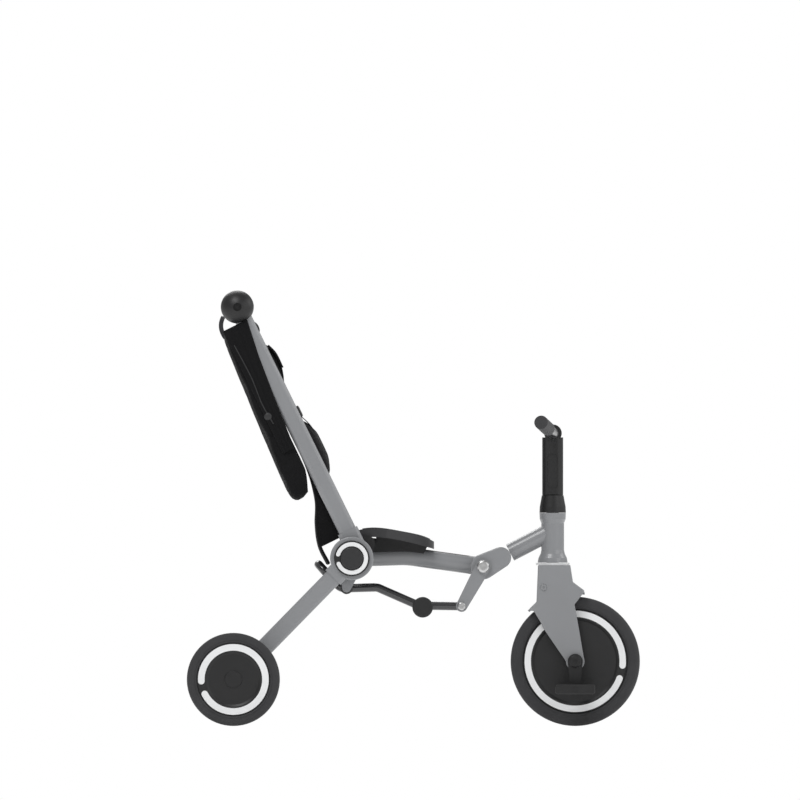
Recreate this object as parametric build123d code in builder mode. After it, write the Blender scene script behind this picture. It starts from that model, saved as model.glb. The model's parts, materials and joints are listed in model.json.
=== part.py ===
from build123d import *
import os
from math import atan2, cos, degrees, hypot, radians, sin

# A toddler's folding push tricycle, standing open on its three wheels.
# Millimetres. X points forwards, Y to the rider's left, Z up. The origin is on the
# floor, below the middle of the length. All angles are measured from X towards Z.

# --- overall layout -------------------------------------------------------------
overall_length = 876.0
overall_width = 460.0
front_wheel_radius = 125.0
rear_wheel_radius = 90.0
hub_ahead_of_rear_axle = 229.0
hub_height = 324.0
steer_behind_front_axle = 43.6
hinge_behind_steer = 134.4
hinge_height = 308.0
recline_angle = 116.2
upright_offset = 16.0
knuckle_distance = 534.0
seat_half_width = 112.0
running_gap = 0.05
layer_gap = 1.0
touch_gap = 0.4

rear_axle = (-overall_length / 2 + rear_wheel_radius, rear_wheel_radius)
front_axle = (overall_length / 2 - front_wheel_radius, front_wheel_radius)
hub = (rear_axle[0] + hub_ahead_of_rear_axle, hub_height)
steer_x = front_axle[0] - steer_behind_front_axle
hinge = (steer_x - hinge_behind_steer, hinge_height)

# --- layers across the main hub, from the seat outwards (Y) -----------------------
plate_thickness = 10.0
upright_ring_width = 22.0
leg_ring_width = 20.0
cap_thickness = 5.0
plate_in = seat_half_width + 4.0
plate_out = plate_in + plate_thickness
upright_in = plate_out + layer_gap
upright_out = upright_in + upright_ring_width
leg_in = upright_out + layer_gap
leg_out = leg_in + leg_ring_width
cap_in = leg_out + layer_gap
cap_out = cap_in + cap_thickness
upright_y = (upright_in + upright_out) / 2
leg_y = (leg_in + leg_out) / 2
spindle_radius = 14.0
spindle_bore = 9.0
plate_radius = 37.0
upright_ring_radius = 39.0
leg_ring_radius = 42.0
cap_radius = 34.0
button_radius = 21.4
button_travel = 4.0

# --- frame tubes ------------------------------------------------------------------
spine_radius = 17.5
spine_wall = 2.0
end_plug = 3.0
spine_bend_ahead = 107.0
spine_bend_rise = 4.5
spine_bend_radius = 160.0
cross_tube_radius = 11.0
cross_tube_at = (30.0, 29.0)
upright_depth = 34.6
upright_thickness = 20.0
leg_depth = 34.0
leg_thickness = 17.0
tube_wall = 1.8
rear_tube_radius = 11.0
rear_axle_radius = 6.0
leg_boss_radius = 17.5

# --- front hinge, lever and tie bar -------------------------------------------------
knuckle_half_width = 17.5
knuckle_radius = 21.0
cheek_radius = 24.6
cheek_out = 35.3
lever_thickness = 5.0
lever_length = 87.0
lever_angle = 241.4
hinge_bolt_radius = 5.0
bar_radius = 8.3
bar_y = 27.0
pull_radius = 58.0
pull_angle = -100.0
pull_rod_radius = 4.0
pull_slack = 3.2
link_bolt_radius = 4.0
peg_radius = 20.0
peg_length = 66.0

# --- steering -------------------------------------------------------------------------
head_tube_radius = 22.0
head_flange_radius = 25.6
head_foot_radius = 29.0
head_bottom = 316.0
head_top = 412.0
steerer_radius = 12.0
steerer_wall = 2.0
bush_length = 14.0
bush_outer = 15.5
fork_top = 311.0
fork_leg_in = 27.0
fork_leg_out = 38.0
fork_crown_radius = 31.0
collar_top = 446.0
post_top = 552.0
bar_half_width = 140.0
bar_tube_radius = 11.0
grip_radius = 13.4
grip_length = 78.0

# --- wheels and cranks ------------------------------------------------------------------
front_tyre_width = 40.0
rear_tyre_width = 38.0
front_tyre_depth = 25.0
rear_tyre_depth = 20.0
rim_inset = 3.0
reflector_thickness = 1.2
front_reflector = (85.7, 98.0)
rear_reflector = (55.7, 68.4)
crank_axle_radius = 6.0
crank_length = 54.0
crank_in = 40.0
crank_thickness = 10.0
pedal_pin_radius = 4.0
pedal_in = 55.0
pedal_size = (77.0, 19.0, 70.0)

rear_wheel_y = overall_width / 2 - rear_tyre_width / 2


def along(start, angle, distance):
    """The point at a distance and angle from a start point in the side view."""
    return (start[0] + distance * cos(radians(angle)), start[1] + distance * sin(radians(angle)))


def side(y=0.0):
    """The side-view plane at y: sketch X is forwards, sketch Y is up, extrusions go to -Y."""
    return Plane(origin=(0, y, 0), x_dir=(1, 0, 0), z_dir=(0, -1, 0))


def leaning(y=0.0):
    """The side-view plane that leans with the uprights: sketch X forwards of them, sketch Y up along."""
    forward = radians(recline_angle - 90)
    return Plane(origin=(hub[0], y, hub[1]), x_dir=(cos(forward), 0, sin(forward)), z_dir=(0, -1, 0))


def across(point, y):
    """The end-on plane of a cross-wise cylinder at a side-view point, facing -Y."""
    return Plane(origin=(point[0], y, point[1]), x_dir=(1, 0, 0), z_dir=(0, -1, 0))


def spot(point, y):
    """A side-view point at y as a point in space."""
    return (point[0], y, point[1])


def cylinder_y(point, radius, y_low, y_high, mode=Mode.ADD):
    """A cross-wise cylinder between two Y values, added to or cut from the open part."""
    with BuildSketch(across(point, y_high)) as disc:
        Circle(radius)
    extrude(disc.sketch, amount=y_high - y_low, mode=mode)


def rod(point, radius, y_low, y_high):
    """A cross-wise cylinder as a tool for cutting, in no open part."""
    with BuildPart(mode=Mode.PRIVATE) as tool:
        cylinder_y(point, radius, y_low, y_high)
    return tool.part


def save(part, name):
    """Label a finished piece and write it as its own STEP file."""
    part.label = name
    export_step(part, f"parts/{name}.step")


os.makedirs("parts", exist_ok=True)

lever_end = along(hinge, lever_angle, lever_length)
pull_point = along(hub, pull_angle, pull_radius)
leg_angle = degrees(atan2(rear_axle[1] - hub[1], rear_axle[0] - hub[0]))
leg_span = hypot(rear_axle[1] - hub[1], rear_axle[0] - hub[0])
lever_in = cheek_out + 1.0
lever_out = lever_in + lever_thickness
boss_out = rear_wheel_y - rear_tyre_width / 2 - 1.5

# ================================================================ main frame
spine_start = (hub[0] - 10.0, hub[1] + 1.0)
spine_bend = (hub[0] + spine_bend_ahead, hub[1] + spine_bend_rise)


def spine_sweep(radius):
    """A round bar of some radius along the spine tube's bent centreline."""
    with BuildPart(mode=Mode.PRIVATE) as bar:
        with BuildLine(side()) as path:
            FilletPolyline(spine_start, spine_bend, hinge, radius=spine_bend_radius)
        with BuildSketch(Plane(origin=path.line @ 0, z_dir=path.line % 0)):
            Circle(radius)
        sweep(path=path.line)
    return bar.part


with BuildPart() as spine_tube:
    add(spine_sweep(spine_radius))
    add(spine_sweep(spine_radius - spine_wall), mode=Mode.SUBTRACT)
    with BuildSketch(Plane(origin=spot(spine_start, 0), z_dir=(spine_bend[0] - spine_start[0], 0,
                                                               spine_bend[1] - spine_start[1]))):
        Circle(spine_radius - spine_wall / 2)
    extrude(amount=end_plug)
    cylinder_y(hinge, knuckle_radius, -knuckle_half_width, knuckle_half_width, mode=Mode.SUBTRACT)
save(spine_tube.part, "spine_tube")

with BuildPart() as front_knuckle:
    cylinder_y(hinge, knuckle_radius, -knuckle_half_width, knuckle_half_width)
    cylinder_y(hinge, hinge_bolt_radius + running_gap, -knuckle_half_width, knuckle_half_width, mode=Mode.SUBTRACT)
save(front_knuckle.part, "front_knuckle")

cross_tube_centre = (hub[0] + cross_tube_at[0], hub[1] + cross_tube_at[1])
with BuildPart() as seat_cross_tube:
    cylinder_y(cross_tube_centre, cross_tube_radius, -plate_in, plate_in)
    cylinder_y(cross_tube_centre, cross_tube_radius - tube_wall, -plate_in, plate_in, mode=Mode.SUBTRACT)
    add(spine_sweep(spine_radius), mode=Mode.SUBTRACT)
save(seat_cross_tube.part, "seat_cross_tube")

with BuildPart() as hub_plates:
    with BuildSketch(side(plate_out)):
        with BuildSketch(mode=Mode.PRIVATE) as discs:
            with Locations(hub):
                Circle(plate_radius)
            with Locations(cross_tube_centre):
                Circle(cross_tube_radius + 4)
        make_hull(discs.sketch.edges())
    extrude(amount=plate_thickness)
    cylinder_y(hub, spindle_radius, plate_out, cap_in)
    cylinder_y(hub, spindle_bore, plate_out + 8, cap_in, mode=Mode.SUBTRACT)
    mirror(about=Plane.XZ)
save(hub_plates.part, "hub_plates")

with BuildPart() as hub_caps:
    cylinder_y(hub, cap_radius, cap_in, cap_out)
    fillet(hub_caps.faces().sort_by(Axis.Y)[-1].edges(), radius=1.2)
    cylinder_y(hub, button_radius + touch_gap, cap_in + 1, cap_out, mode=Mode.SUBTRACT)
    cylinder_y(hub, spindle_bore, cap_in, cap_out, mode=Mode.SUBTRACT)
    mirror(about=Plane.XZ)
save(hub_caps.part, "hub_caps")


def c_ring(point, inner, outer, y_low, y_high, gap_angle, gap_half):
    """A flat C-shaped ring with round ends, its gap centred on an angle; a tool in no open part."""
    middle = (inner + outer) / 2
    with BuildPart(mode=Mode.PRIVATE) as ring:
        with BuildLine(mode=Mode.PRIVATE) as middle_line:
            CenterArc((0, 0), middle, gap_angle + gap_half, 360 - 2 * gap_half)
        with BuildSketch(across(point, y_high)):
            SlotArc(middle_line.edge(), outer - inner)
        extrude(amount=y_high - y_low)
    return ring.part


with BuildPart() as hub_reflectors:
    add(c_ring(hub, 23.6, 31.4, cap_out, cap_out + 1.0, 183, 19))
    mirror(about=Plane.XZ)
save(hub_reflectors.part, "hub_reflectors")

for name, sign in (("left", 1), ("right", -1)):
    with BuildPart() as button:
        cylinder_y(hub, button_radius, cap_in + 1 + button_travel, cap_out + button_travel)
        fillet(button.faces().sort_by(Axis.Y)[-1].edges(), radius=2.0)
        cylinder_y(hub, spindle_bore - touch_gap, cap_in - 6, cap_in + 1 + button_travel)
    save(button.part if sign > 0 else button.part.mirror(Plane.XZ), f"hub_button_{name}")

# ---------------------------------------------------------------- seat
seat_rear_x = hub[0] + 13.0
seat_front_x = hub[0] + 159.0
seat_top_z = hub[1] + 58.0
seat_mat_thickness = 4.0


def seat_outline(shrink=0.0):
    """The seat's plan: wide at the back and narrow with a round nose at the front."""
    front = 62.0 - shrink
    back = seat_half_width - shrink
    with BuildLine() as outline:
        Polyline((seat_rear_x + shrink, -back), (seat_rear_x + shrink, back))
        Spline((seat_rear_x + shrink, back), (seat_rear_x + 62, back - 6), (seat_front_x - 34, front + 14),
               (seat_front_x - shrink, 0), (seat_front_x - 34, -front - 14), (seat_rear_x + 62, -back + 6),
               (seat_rear_x + shrink, -back), tangents=((1, 0), (-1, 0)))
    make_face(outline.edges())


def seat_profile(top, thickness):
    """The seat's side profile, nearly level at the back and falling to a rounded nose."""
    nose = seat_front_x + 4
    with BuildLine() as outline:
        Spline((seat_rear_x - 6, top - 5), (seat_rear_x + 20, top), (seat_rear_x + 90, top - 8),
               (seat_front_x - 18, top - 17), (nose, top - 28))
        Spline((nose, top - 28 - thickness), (seat_front_x - 24, top - 20 - thickness),
               (seat_rear_x + 70, top - 8 - thickness), (seat_rear_x - 6, top - 5 - thickness))
        Line((seat_rear_x - 6, top - 5 - thickness), (seat_rear_x - 6, top - 5))
        Line((nose, top - 28), (nose, top - 28 - thickness))
    make_face(outline.edges())


def seat_slab(shrink, top, thickness):
    """A slab of the seat's plan and profile; a tool in no open part."""
    with BuildPart(mode=Mode.PRIVATE) as slab:
        with BuildSketch(Plane.XY.offset(seat_top_z - 70)):
            seat_outline(shrink)
        extrude(amount=90)
        with BuildSketch(side(seat_half_width + 5)):
            seat_profile(top, thickness)
        extrude(amount=2 * seat_half_width + 10, mode=Mode.INTERSECT)
    return slab.part


with BuildPart() as seat_shell:
    add(seat_slab(0, seat_top_z, 13))
    add(seat_slab(7, seat_top_z + 20, 22 + seat_mat_thickness / 2), mode=Mode.SUBTRACT)
save(seat_shell.part, "seat_shell")

with BuildPart() as seat_mat:
    add(seat_slab(7.5, seat_top_z + 1.5, 3.4))
save(seat_mat.part, "seat_mat")

with BuildPart() as seat_bracket:
    with BuildSketch(side(15)):
        Polygon((hub[0] + 22, hub[1]), (hub[0] + 132, hub[1] - 6), (hub[0] + 148, hub[1] + 27),
                (seat_rear_x + 8, hub[1] + 42), align=None)
    extrude(amount=30)
    with BuildSketch(side(44)):
        Polygon((seat_rear_x + 34, hub[1] + 34), (hub[0] + 134, hub[1] + 22), (hub[0] + 140, hub[1] + 30),
                (seat_rear_x + 34, hub[1] + 44), align=None)
    extrude(amount=88)
    add(spine_sweep(spine_radius), mode=Mode.SUBTRACT)
    add(rod(cross_tube_centre, cross_tube_radius, -60, 60), mode=Mode.SUBTRACT)
    add(seat_slab(0, seat_top_z, 13), mode=Mode.SUBTRACT)
    add(seat_slab(0, seat_top_z + 13, 14), mode=Mode.SUBTRACT)
save(seat_bracket.part, "seat_bracket")

# ================================================================ rear legs and wheels
leg_direction = (cos(radians(leg_angle)), 0, sin(radians(leg_angle)))


def leg_section(distance, y):
    """The plane square to the leg at a distance from the hub, its sketch X across the leg's depth."""
    start = along(hub, leg_angle, distance)
    return Plane(origin=(start[0], y, start[1]), x_dir=(-leg_direction[2], 0, leg_direction[0]),
                 z_dir=leg_direction)


leg_socket_end = 52.0
leg_boss = rod(rear_axle, leg_boss_radius, leg_in - 5, leg_out + 5)
for name, sign in (("left", 1), ("right", -1)):
    with BuildPart() as leg:
        with BuildSketch(leg_section(leg_socket_end, leg_y)):
            RectangleRounded(leg_depth, leg_thickness, 6)
            RectangleRounded(leg_depth - 2 * tube_wall, leg_thickness - 2 * tube_wall, 4.2, mode=Mode.SUBTRACT)
        extrude(amount=leg_span - leg_socket_end)
        add(leg_boss, mode=Mode.SUBTRACT)
    save(leg.part if sign > 0 else leg.part.mirror(Plane.XZ), f"leg_{name}")

with BuildPart() as leg_hubs:
    cylinder_y(hub, leg_ring_radius, leg_in, leg_out)
    with BuildSketch(leg_section(0, leg_y)):
        RectangleRounded(leg_depth + 7, leg_ring_width, 7)
    extrude(amount=leg_socket_end)
    fillet(leg_hubs.edges().filter_by(GeomType.CIRCLE).sort_by(Axis.Y)[-1], radius=2)
    cylinder_y(hub, cap_radius + touch_gap, leg_out - 3, leg_out, mode=Mode.SUBTRACT)
    cylinder_y(hub, spindle_radius + running_gap, leg_in, leg_out, mode=Mode.SUBTRACT)
    mirror(about=Plane.XZ)
save(leg_hubs.part, "leg_hubs")

with BuildPart() as leg_ends:
    cylinder_y(rear_axle, leg_boss_radius, leg_in, leg_out)
    cylinder_y(rear_axle, rear_axle_radius + 4.5, leg_out, boss_out)
    cylinder_y(rear_axle, rear_axle_radius + running_gap, leg_in, boss_out, mode=Mode.SUBTRACT)
    mirror(about=Plane.XZ)
save(leg_ends.part, "leg_ends")

with BuildPart() as rear_axle_tube:
    cylinder_y(rear_axle, rear_tube_radius, -leg_in, leg_in)
    cylinder_y(rear_axle, rear_tube_radius - tube_wall, -leg_in, leg_in, mode=Mode.SUBTRACT)
save(rear_axle_tube.part, "rear_axle_tube")

rear_axle_end = rear_wheel_y + 11.0
with BuildPart() as rear_axle_rod:
    cylinder_y(rear_axle, rear_axle_radius, -rear_axle_end, rear_axle_end)
save(rear_axle_rod.part, "rear_axle_rod")


def tyre(centre, y, outer, depth, width):
    """A solid foam tyre: a flat tread with round shoulders and a shallow centre groove."""
    half = width / 2
    with BuildPart(mode=Mode.PRIVATE) as body:
        with BuildSketch(Plane(origin=(centre[0], y, centre[1]), x_dir=(0, 1, 0), z_dir=(1, 0, 0))):
            with Locations((0, outer - depth / 2)):
                RectangleRounded(width, depth, depth * 0.38)
            for groove in (-half * 0.42, half * 0.42):
                with Locations((groove, outer)):
                    Circle(1.4, mode=Mode.SUBTRACT)
            with Locations((0, outer - depth + 1)):
                Rectangle(width - 9, 2.0, mode=Mode.SUBTRACT)
            with Locations((-half, outer - depth + 2), (half, outer - depth + 2)):
                Rectangle(2, 8, mode=Mode.SUBTRACT)
        revolve(axis=Axis((centre[0], y, centre[1]), (0, 1, 0)))
    return body.part


def rim(centre, y, tyre_inner, width, bore, reflector):
    """A moulded disc wheel: a band under the tyre, a dished web and a hub barrel with a bore."""
    half = width / 2 - rim_inset
    inner, outer = reflector
    with BuildPart(mode=Mode.PRIVATE) as body:
        with BuildSketch(Plane(origin=(centre[0], y, centre[1]), x_dir=(0, 1, 0), z_dir=(1, 0, 0))):
            with BuildLine():
                Polyline((0, bore), (half - 1, bore), (half - 1, 15), (half - 3, 17), (half - 3.5, inner - 7),
                         (half - 1, inner - 3), (half - 1, outer), (half, tyre_inner - 0.5),
                         (half, tyre_inner), (half - 2, tyre_inner + 2), (0, tyre_inner + 2), (0, bore))
            make_face()
            mirror(about=Plane.YZ)
        revolve(axis=Axis((centre[0], y, centre[1]), (0, 1, 0)))
    return body.part


rear_tyre_inner = rear_wheel_radius - rear_tyre_depth
rear_face = rear_tyre_width / 2 - rim_inset - 1
for name, sign in (("left", 1), ("right", -1)):
    y = sign * rear_wheel_y
    rim_body = rim(rear_axle, y, rear_tyre_inner, rear_tyre_width, rear_axle_radius + running_gap, rear_reflector)
    with BuildPart() as rear_rim:
        add(rim_body)
        low, high = sorted((y + sign * 11.5, y + sign * (rear_tyre_width / 2 - rim_inset - 1)))
        cylinder_y(rear_axle, 16, low, high)
    save(rear_rim.part, f"rear_rim_{name}")
    with BuildPart() as rear_tyre:
        add(tyre(rear_axle, y, rear_wheel_radius, rear_tyre_depth, rear_tyre_width))
        add(rim_body, mode=Mode.SUBTRACT)
    save(rear_tyre.part, f"rear_tyre_{name}")
    face = y + sign * rear_face
    with BuildPart() as rear_ring:
        add(c_ring(rear_axle, *rear_reflector, min(face, face + sign * reflector_thickness),
                   max(face, face + sign * reflector_thickness), 195, 12))
    save(rear_ring.part, f"rear_reflector_{name}")

# ================================================================ uprights, push bar and backrest
forward_angle = radians(recline_angle - 90)
forward = (cos(forward_angle), 0, sin(forward_angle))
upwards = (cos(radians(recline_angle)), 0, sin(radians(recline_angle)))
socket_end = 52.0
knuckle_ball_radius = 32.0
push_bar_radius = 11.0
push_grip_radius = 16.0
push_grip_half = 98.0
sling_thickness = 9.0
sling_half_width = upright_in - 1.0


def leaning_point(o, s):
    """The side-view point that is o forward of the hub and s along the uprights."""
    return (hub[0] + o * forward[0] + s * upwards[0], hub[1] + o * forward[2] + s * upwards[2])


def upright_section(s, y):
    """The plane square to an upright at s along it, its sketch X forwards."""
    x, z = leaning_point(upright_offset, s)
    return Plane(origin=(x, y, z), x_dir=forward, z_dir=upwards)


knuckle = leaning_point(upright_offset, knuckle_distance)


def ball(y, radius):
    """A sphere on the push-bar line; a tool in no open part."""
    with BuildPart(mode=Mode.PRIVATE) as sphere:
        with Locations((knuckle[0], y, knuckle[1])):
            Sphere(radius)
    return sphere.part


for name, sign in (("left", 1), ("right", -1)):
    with BuildPart() as upright:
        with BuildSketch(upright_section(socket_end, upright_y)):
            RectangleRounded(upright_depth, upright_thickness, upright_thickness * 0.46)
            RectangleRounded(upright_depth - 2 * tube_wall, upright_thickness - 2 * tube_wall,
                             upright_thickness * 0.36, mode=Mode.SUBTRACT)
        extrude(amount=knuckle_distance - socket_end)
        add(ball(upright_y, knuckle_ball_radius), mode=Mode.SUBTRACT)
    save(upright.part if sign > 0 else upright.part.mirror(Plane.XZ), f"upright_{name}")

with BuildPart() as upright_hubs:
    with BuildSketch(side(upright_out)):
        with BuildSketch(mode=Mode.PRIVATE) as lug:
            with Locations(hub):
                Circle(26)
            with Locations(pull_point):
                Circle(pull_rod_radius + 4.5)
        make_hull(lug.sketch.edges())
        with Locations(hub):
            Circle(upright_ring_radius)
    extrude(amount=upright_ring_width)
    with BuildSketch(upright_section(0, upright_y)):
        RectangleRounded(upright_depth + 7, upright_ring_width, 8)
    extrude(amount=socket_end)
    cylinder_y(hub, spindle_radius + running_gap, upright_in, upright_out, mode=Mode.SUBTRACT)
    mirror(about=Plane.XZ)
save(upright_hubs.part, "upright_hubs")

with BuildPart() as top_knuckles:
    add(ball(upright_y, knuckle_ball_radius))
    cylinder_y(knuckle, 8, upright_y + knuckle_ball_radius - 9, upright_y + knuckle_ball_radius + 1,
               mode=Mode.SUBTRACT)
    mirror(about=Plane.XZ)
save(top_knuckles.part, "top_knuckles")

with BuildPart() as push_bar:
    cylinder_y(knuckle, push_bar_radius, -upright_y, upright_y)
    cylinder_y(knuckle, push_bar_radius - tube_wall, -upright_y, upright_y, mode=Mode.SUBTRACT)
    for sign in (1, -1):
        add(ball(sign * upright_y, knuckle_ball_radius), mode=Mode.SUBTRACT)
save(push_bar.part, "push_bar")

with BuildPart() as push_grip:
    cylinder_y(knuckle, push_grip_radius, -push_grip_half, push_grip_half)
    fillet(push_grip.edges().filter_by(GeomType.CIRCLE), radius=3)
    cylinder_y(knuckle, push_bar_radius, -push_grip_half, push_grip_half, mode=Mode.SUBTRACT)
save(push_grip.part, "push_grip")

with BuildPart() as pull_rod:
    cylinder_y(pull_point, pull_rod_radius, -upright_in, upright_in)
save(pull_rod.part, "pull_rod")


def leaning_slab(points, thickness, y_low, y_high):
    """A slab whose middle line runs smoothly through leaning points (o, s); a tool in no open part."""
    front = [(o + thickness / 2, s) for o, s in points]
    rear = [(o - thickness / 2, s) for o, s in points]
    with BuildPart(mode=Mode.PRIVATE) as slab:
        with BuildSketch(leaning(y_high)):
            with BuildLine():
                Spline(*front)
                Spline(*rear)
                Line(front[0], rear[0])
                Line(front[-1], rear[-1])
            make_face()
        extrude(amount=y_high - y_low)
    return slab.part


sling_line = [(-44, 10), (-44, 50), (-31, 90), (-10, 135), (2, 200), (4, 300), (4, 400), (4, 490)]
sling_body = leaning_slab(sling_line, sling_thickness, -sling_half_width, sling_half_width)
with BuildPart() as back_sling:
    add(sling_body)
save(back_sling.part, "back_sling")


def back_pad(front_points, half_width):
    """A pad with a flat back on the sling and a crowned front through leaning points; a tool in no open part."""
    first, last = front_points[0], front_points[-1]
    with BuildPart(mode=Mode.PRIVATE) as pad:
        with BuildSketch(leaning(half_width)):
            with BuildLine():
                Spline(*front_points)
                Polyline(first, (-20, first[1]), (-20, last[1]), last)
            make_face()
        extrude(amount=2 * half_width)
        fillet(pad.edges().filter_by(GeomType.BSPLINE), radius=12)
        add(sling_body, mode=Mode.SUBTRACT)
    return max(pad.part.solids(), key=lambda solid: solid.center().Z + solid.center().X)


with BuildPart() as back_pads:
    add(back_pad([(12, 152), (34, 178), (42, 222), (31, 262), (14, 290)], 92))
    add(back_pad([(14, 352), (33, 374), (39, 405), (33, 432), (14, 454)], 82))
save(back_pads.part, "back_pads")

strap_line = [(45.2, 200), (43.8, 290), (42.4, 360), (41.6, 440)]
with BuildPart() as harness_straps:
    add(leaning_slab(strap_line, 2.2, 38, 63))
    mirror(about=Plane.XZ)
    add(back_pads.part, mode=Mode.SUBTRACT)
save(harness_straps.part, "harness_straps")

with BuildPart() as chest_clip:
    add(leaning_slab([(48.4, 286), (49.4, 300), (48.4, 314)], 5.6, -66, 66))
    add(harness_straps.part, mode=Mode.SUBTRACT)
save(chest_clip.part, "chest_clip")

bag_half_width = upright_out + 2.4
with BuildPart() as rear_bag:
    with BuildSketch(leaning(bag_half_width)):
        with BuildLine():
            Polyline((-3, 498), (-16, 500), (-37, 486), (-55, 168))
            ThreePointArc((-55, 168), (-43, 144), (-22, 150))
            Polyline((-22, 150), (-7, 205), (-3, 300), (-3, 498))
        make_face()
    extrude(amount=2 * bag_half_width)
    fillet(rear_bag.edges().filter_by(Axis.Y).sort_by(Axis.Z)[:1], radius=6)
    with BuildSketch(leaning(bag_half_width)):
        Polygon((-34, 486), (21, 497), (9, 431), (2, 358), (-2.6, 300), (-30, 300), align=None)
    flap = extrude(amount=2.0)
    mirror(flap, about=Plane.XZ)
    add(sling_body, mode=Mode.SUBTRACT)
save(rear_bag.part, "rear_bag")

loop_foot, loop_top = (-361.0, 752.0), (-373.0, 790.0)
loop_half_width, loop_band, loop_thickness = 42.0, 9.0, 3.0
with BuildPart() as carry_loop:
    with BuildLine(Plane.XY) as loop_path:
        loop_lean = (loop_top[0] - loop_foot[0]) / (loop_top[1] - loop_foot[1])
        Spline(*[(loop_foot[0] + loop_lean * rise, y, loop_foot[1] + rise)
                 for y, rise in ((-loop_half_width, -4), (-34, 22), (0, 38), (34, 22), (loop_half_width, -4))])
    with BuildSketch(Plane(origin=loop_path.line @ 0, x_dir=(1, 0, -loop_lean), z_dir=loop_path.line % 0)):
        RectangleRounded(loop_band, loop_thickness, 1.2)
    sweep(path=loop_path.line)
    add(rear_bag.part, mode=Mode.SUBTRACT)
save(max(carry_loop.part.solids(), key=lambda solid: solid.volume), "carry_loop")

# ================================================================ front frame
arm_angle = 27.5
arm_wall = 2.0
bridge_reach = 44.0
cheek_edge = 3.0
bridge_clearance = knuckle_radius + 3.5
cheek_in = knuckle_half_width + layer_gap
lever_in = cheek_out + layer_gap
lever_out = lever_in + lever_thickness
bolt_head_out = 50.0
arm_meets = along(hinge, arm_angle, hinge_behind_steer / cos(radians(arm_angle)))


def upright_tool(x, radius, z_low, z_high, y=0.0):
    """A vertical cylinder between two heights; a tool in no open part."""
    with BuildPart(mode=Mode.PRIVATE) as pillar:
        with BuildSketch(Plane.XY.offset(z_low)) as disc:
            with Locations((x, y)):
                Circle(radius)
        extrude(disc.sketch, amount=z_high - z_low)
    return pillar.part


with BuildPart() as front_clevis:
    with BuildSketch(side(cheek_out)):
        with BuildSketch(mode=Mode.PRIVATE) as cheek:
            with Locations(hinge):
                Circle(cheek_radius)
            with Locations(along(hinge, arm_angle, bridge_reach - 6)):
                Circle(spine_radius + 3)
        make_hull(cheek.sketch.edges())
    extrude(amount=2 * cheek_out)
    cylinder_y(hinge, bridge_clearance, -cheek_in, cheek_in, mode=Mode.SUBTRACT)
    with BuildPart(mode=Mode.PRIVATE) as slot:
        with BuildSketch(side(cheek_in)) as slot_side:
            with Locations(along(hinge, arm_angle, -20)):
                Rectangle(2 * cheek_radius + 44, 2 * bridge_clearance + 12, rotation=arm_angle)
        extrude(slot_side.sketch, amount=2 * cheek_in)
    add(slot.part, mode=Mode.SUBTRACT)
    cylinder_y(hinge, hinge_bolt_radius, -cheek_out, cheek_out, mode=Mode.SUBTRACT)
    fillet(front_clevis.faces().filter_by(GeomType.PLANE).group_by(Axis.Y)[0].edges().filter_by(
        lambda edge: edge.length > 4 * cheek_radius / 3), radius=cheek_edge)
    fillet(front_clevis.faces().filter_by(GeomType.PLANE).group_by(Axis.Y)[-1].edges().filter_by(
        lambda edge: edge.length > 4 * cheek_radius / 3), radius=cheek_edge)
save(front_clevis.part, "front_clevis")

with BuildPart() as front_arm:
    with BuildSketch(Plane(origin=spot(along(hinge, arm_angle, bridge_reach + 14.6), 0), x_dir=(0, 1, 0),
                           z_dir=(cos(radians(arm_angle)), 0, sin(radians(arm_angle))))):
        Circle(spine_radius)
        Circle(spine_radius - arm_wall, mode=Mode.SUBTRACT)
    extrude(amount=hinge_behind_steer / cos(radians(arm_angle)) - bridge_reach - 14.6)
    add(upright_tool(steer_x, head_tube_radius, head_bottom, head_top), mode=Mode.SUBTRACT)
    add(front_clevis.part, mode=Mode.SUBTRACT)
save(front_arm.part, "front_arm")

with BuildPart() as head_tube:
    with BuildSketch(Plane.XZ):
        with BuildLine():
            Polyline((steer_x + bush_outer, head_bottom), (steer_x + head_foot_radius, head_bottom),
                     (steer_x + head_foot_radius - 1.5, 325), (steer_x + 23.5, 333), (steer_x + head_tube_radius, 340),
                     (steer_x + head_tube_radius, 392), (steer_x + head_flange_radius - 0.6, 400),
                     (steer_x + head_flange_radius, head_top), (steer_x + bush_outer, head_top),
                     (steer_x + bush_outer, head_bottom))
        make_face()
    revolve(axis=Axis((steer_x, 0, 0), (0, 0, 1)))
    add(front_arm.part, mode=Mode.SUBTRACT)
save(head_tube.part, "head_tube")

with BuildPart() as headset_bushes:
    for z_low in (head_bottom, head_top - bush_length):
        add(upright_tool(steer_x, bush_outer, z_low, z_low + bush_length))
    add(upright_tool(steer_x, steerer_radius + running_gap, head_bottom - 1, head_top + 1), mode=Mode.SUBTRACT)
save(headset_bushes.part, "headset_bushes")

with BuildPart() as lever_plates:
    with BuildSketch(side(lever_out)):
        with BuildSketch(mode=Mode.PRIVATE) as lever_ends:
            with Locations(hinge):
                Circle(15)
            with Locations(lever_end):
                Circle(11)
        make_hull(lever_ends.sketch.edges())
    extrude(amount=lever_thickness)
    cylinder_y(hinge, 15, cheek_out, lever_in)
    cylinder_y(hinge, hinge_bolt_radius, cheek_out, lever_out, mode=Mode.SUBTRACT)
    cylinder_y(lever_end, link_bolt_radius, lever_in, lever_out, mode=Mode.SUBTRACT)
    mirror(about=Plane.XZ)
save(lever_plates.part, "lever_plates")


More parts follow.
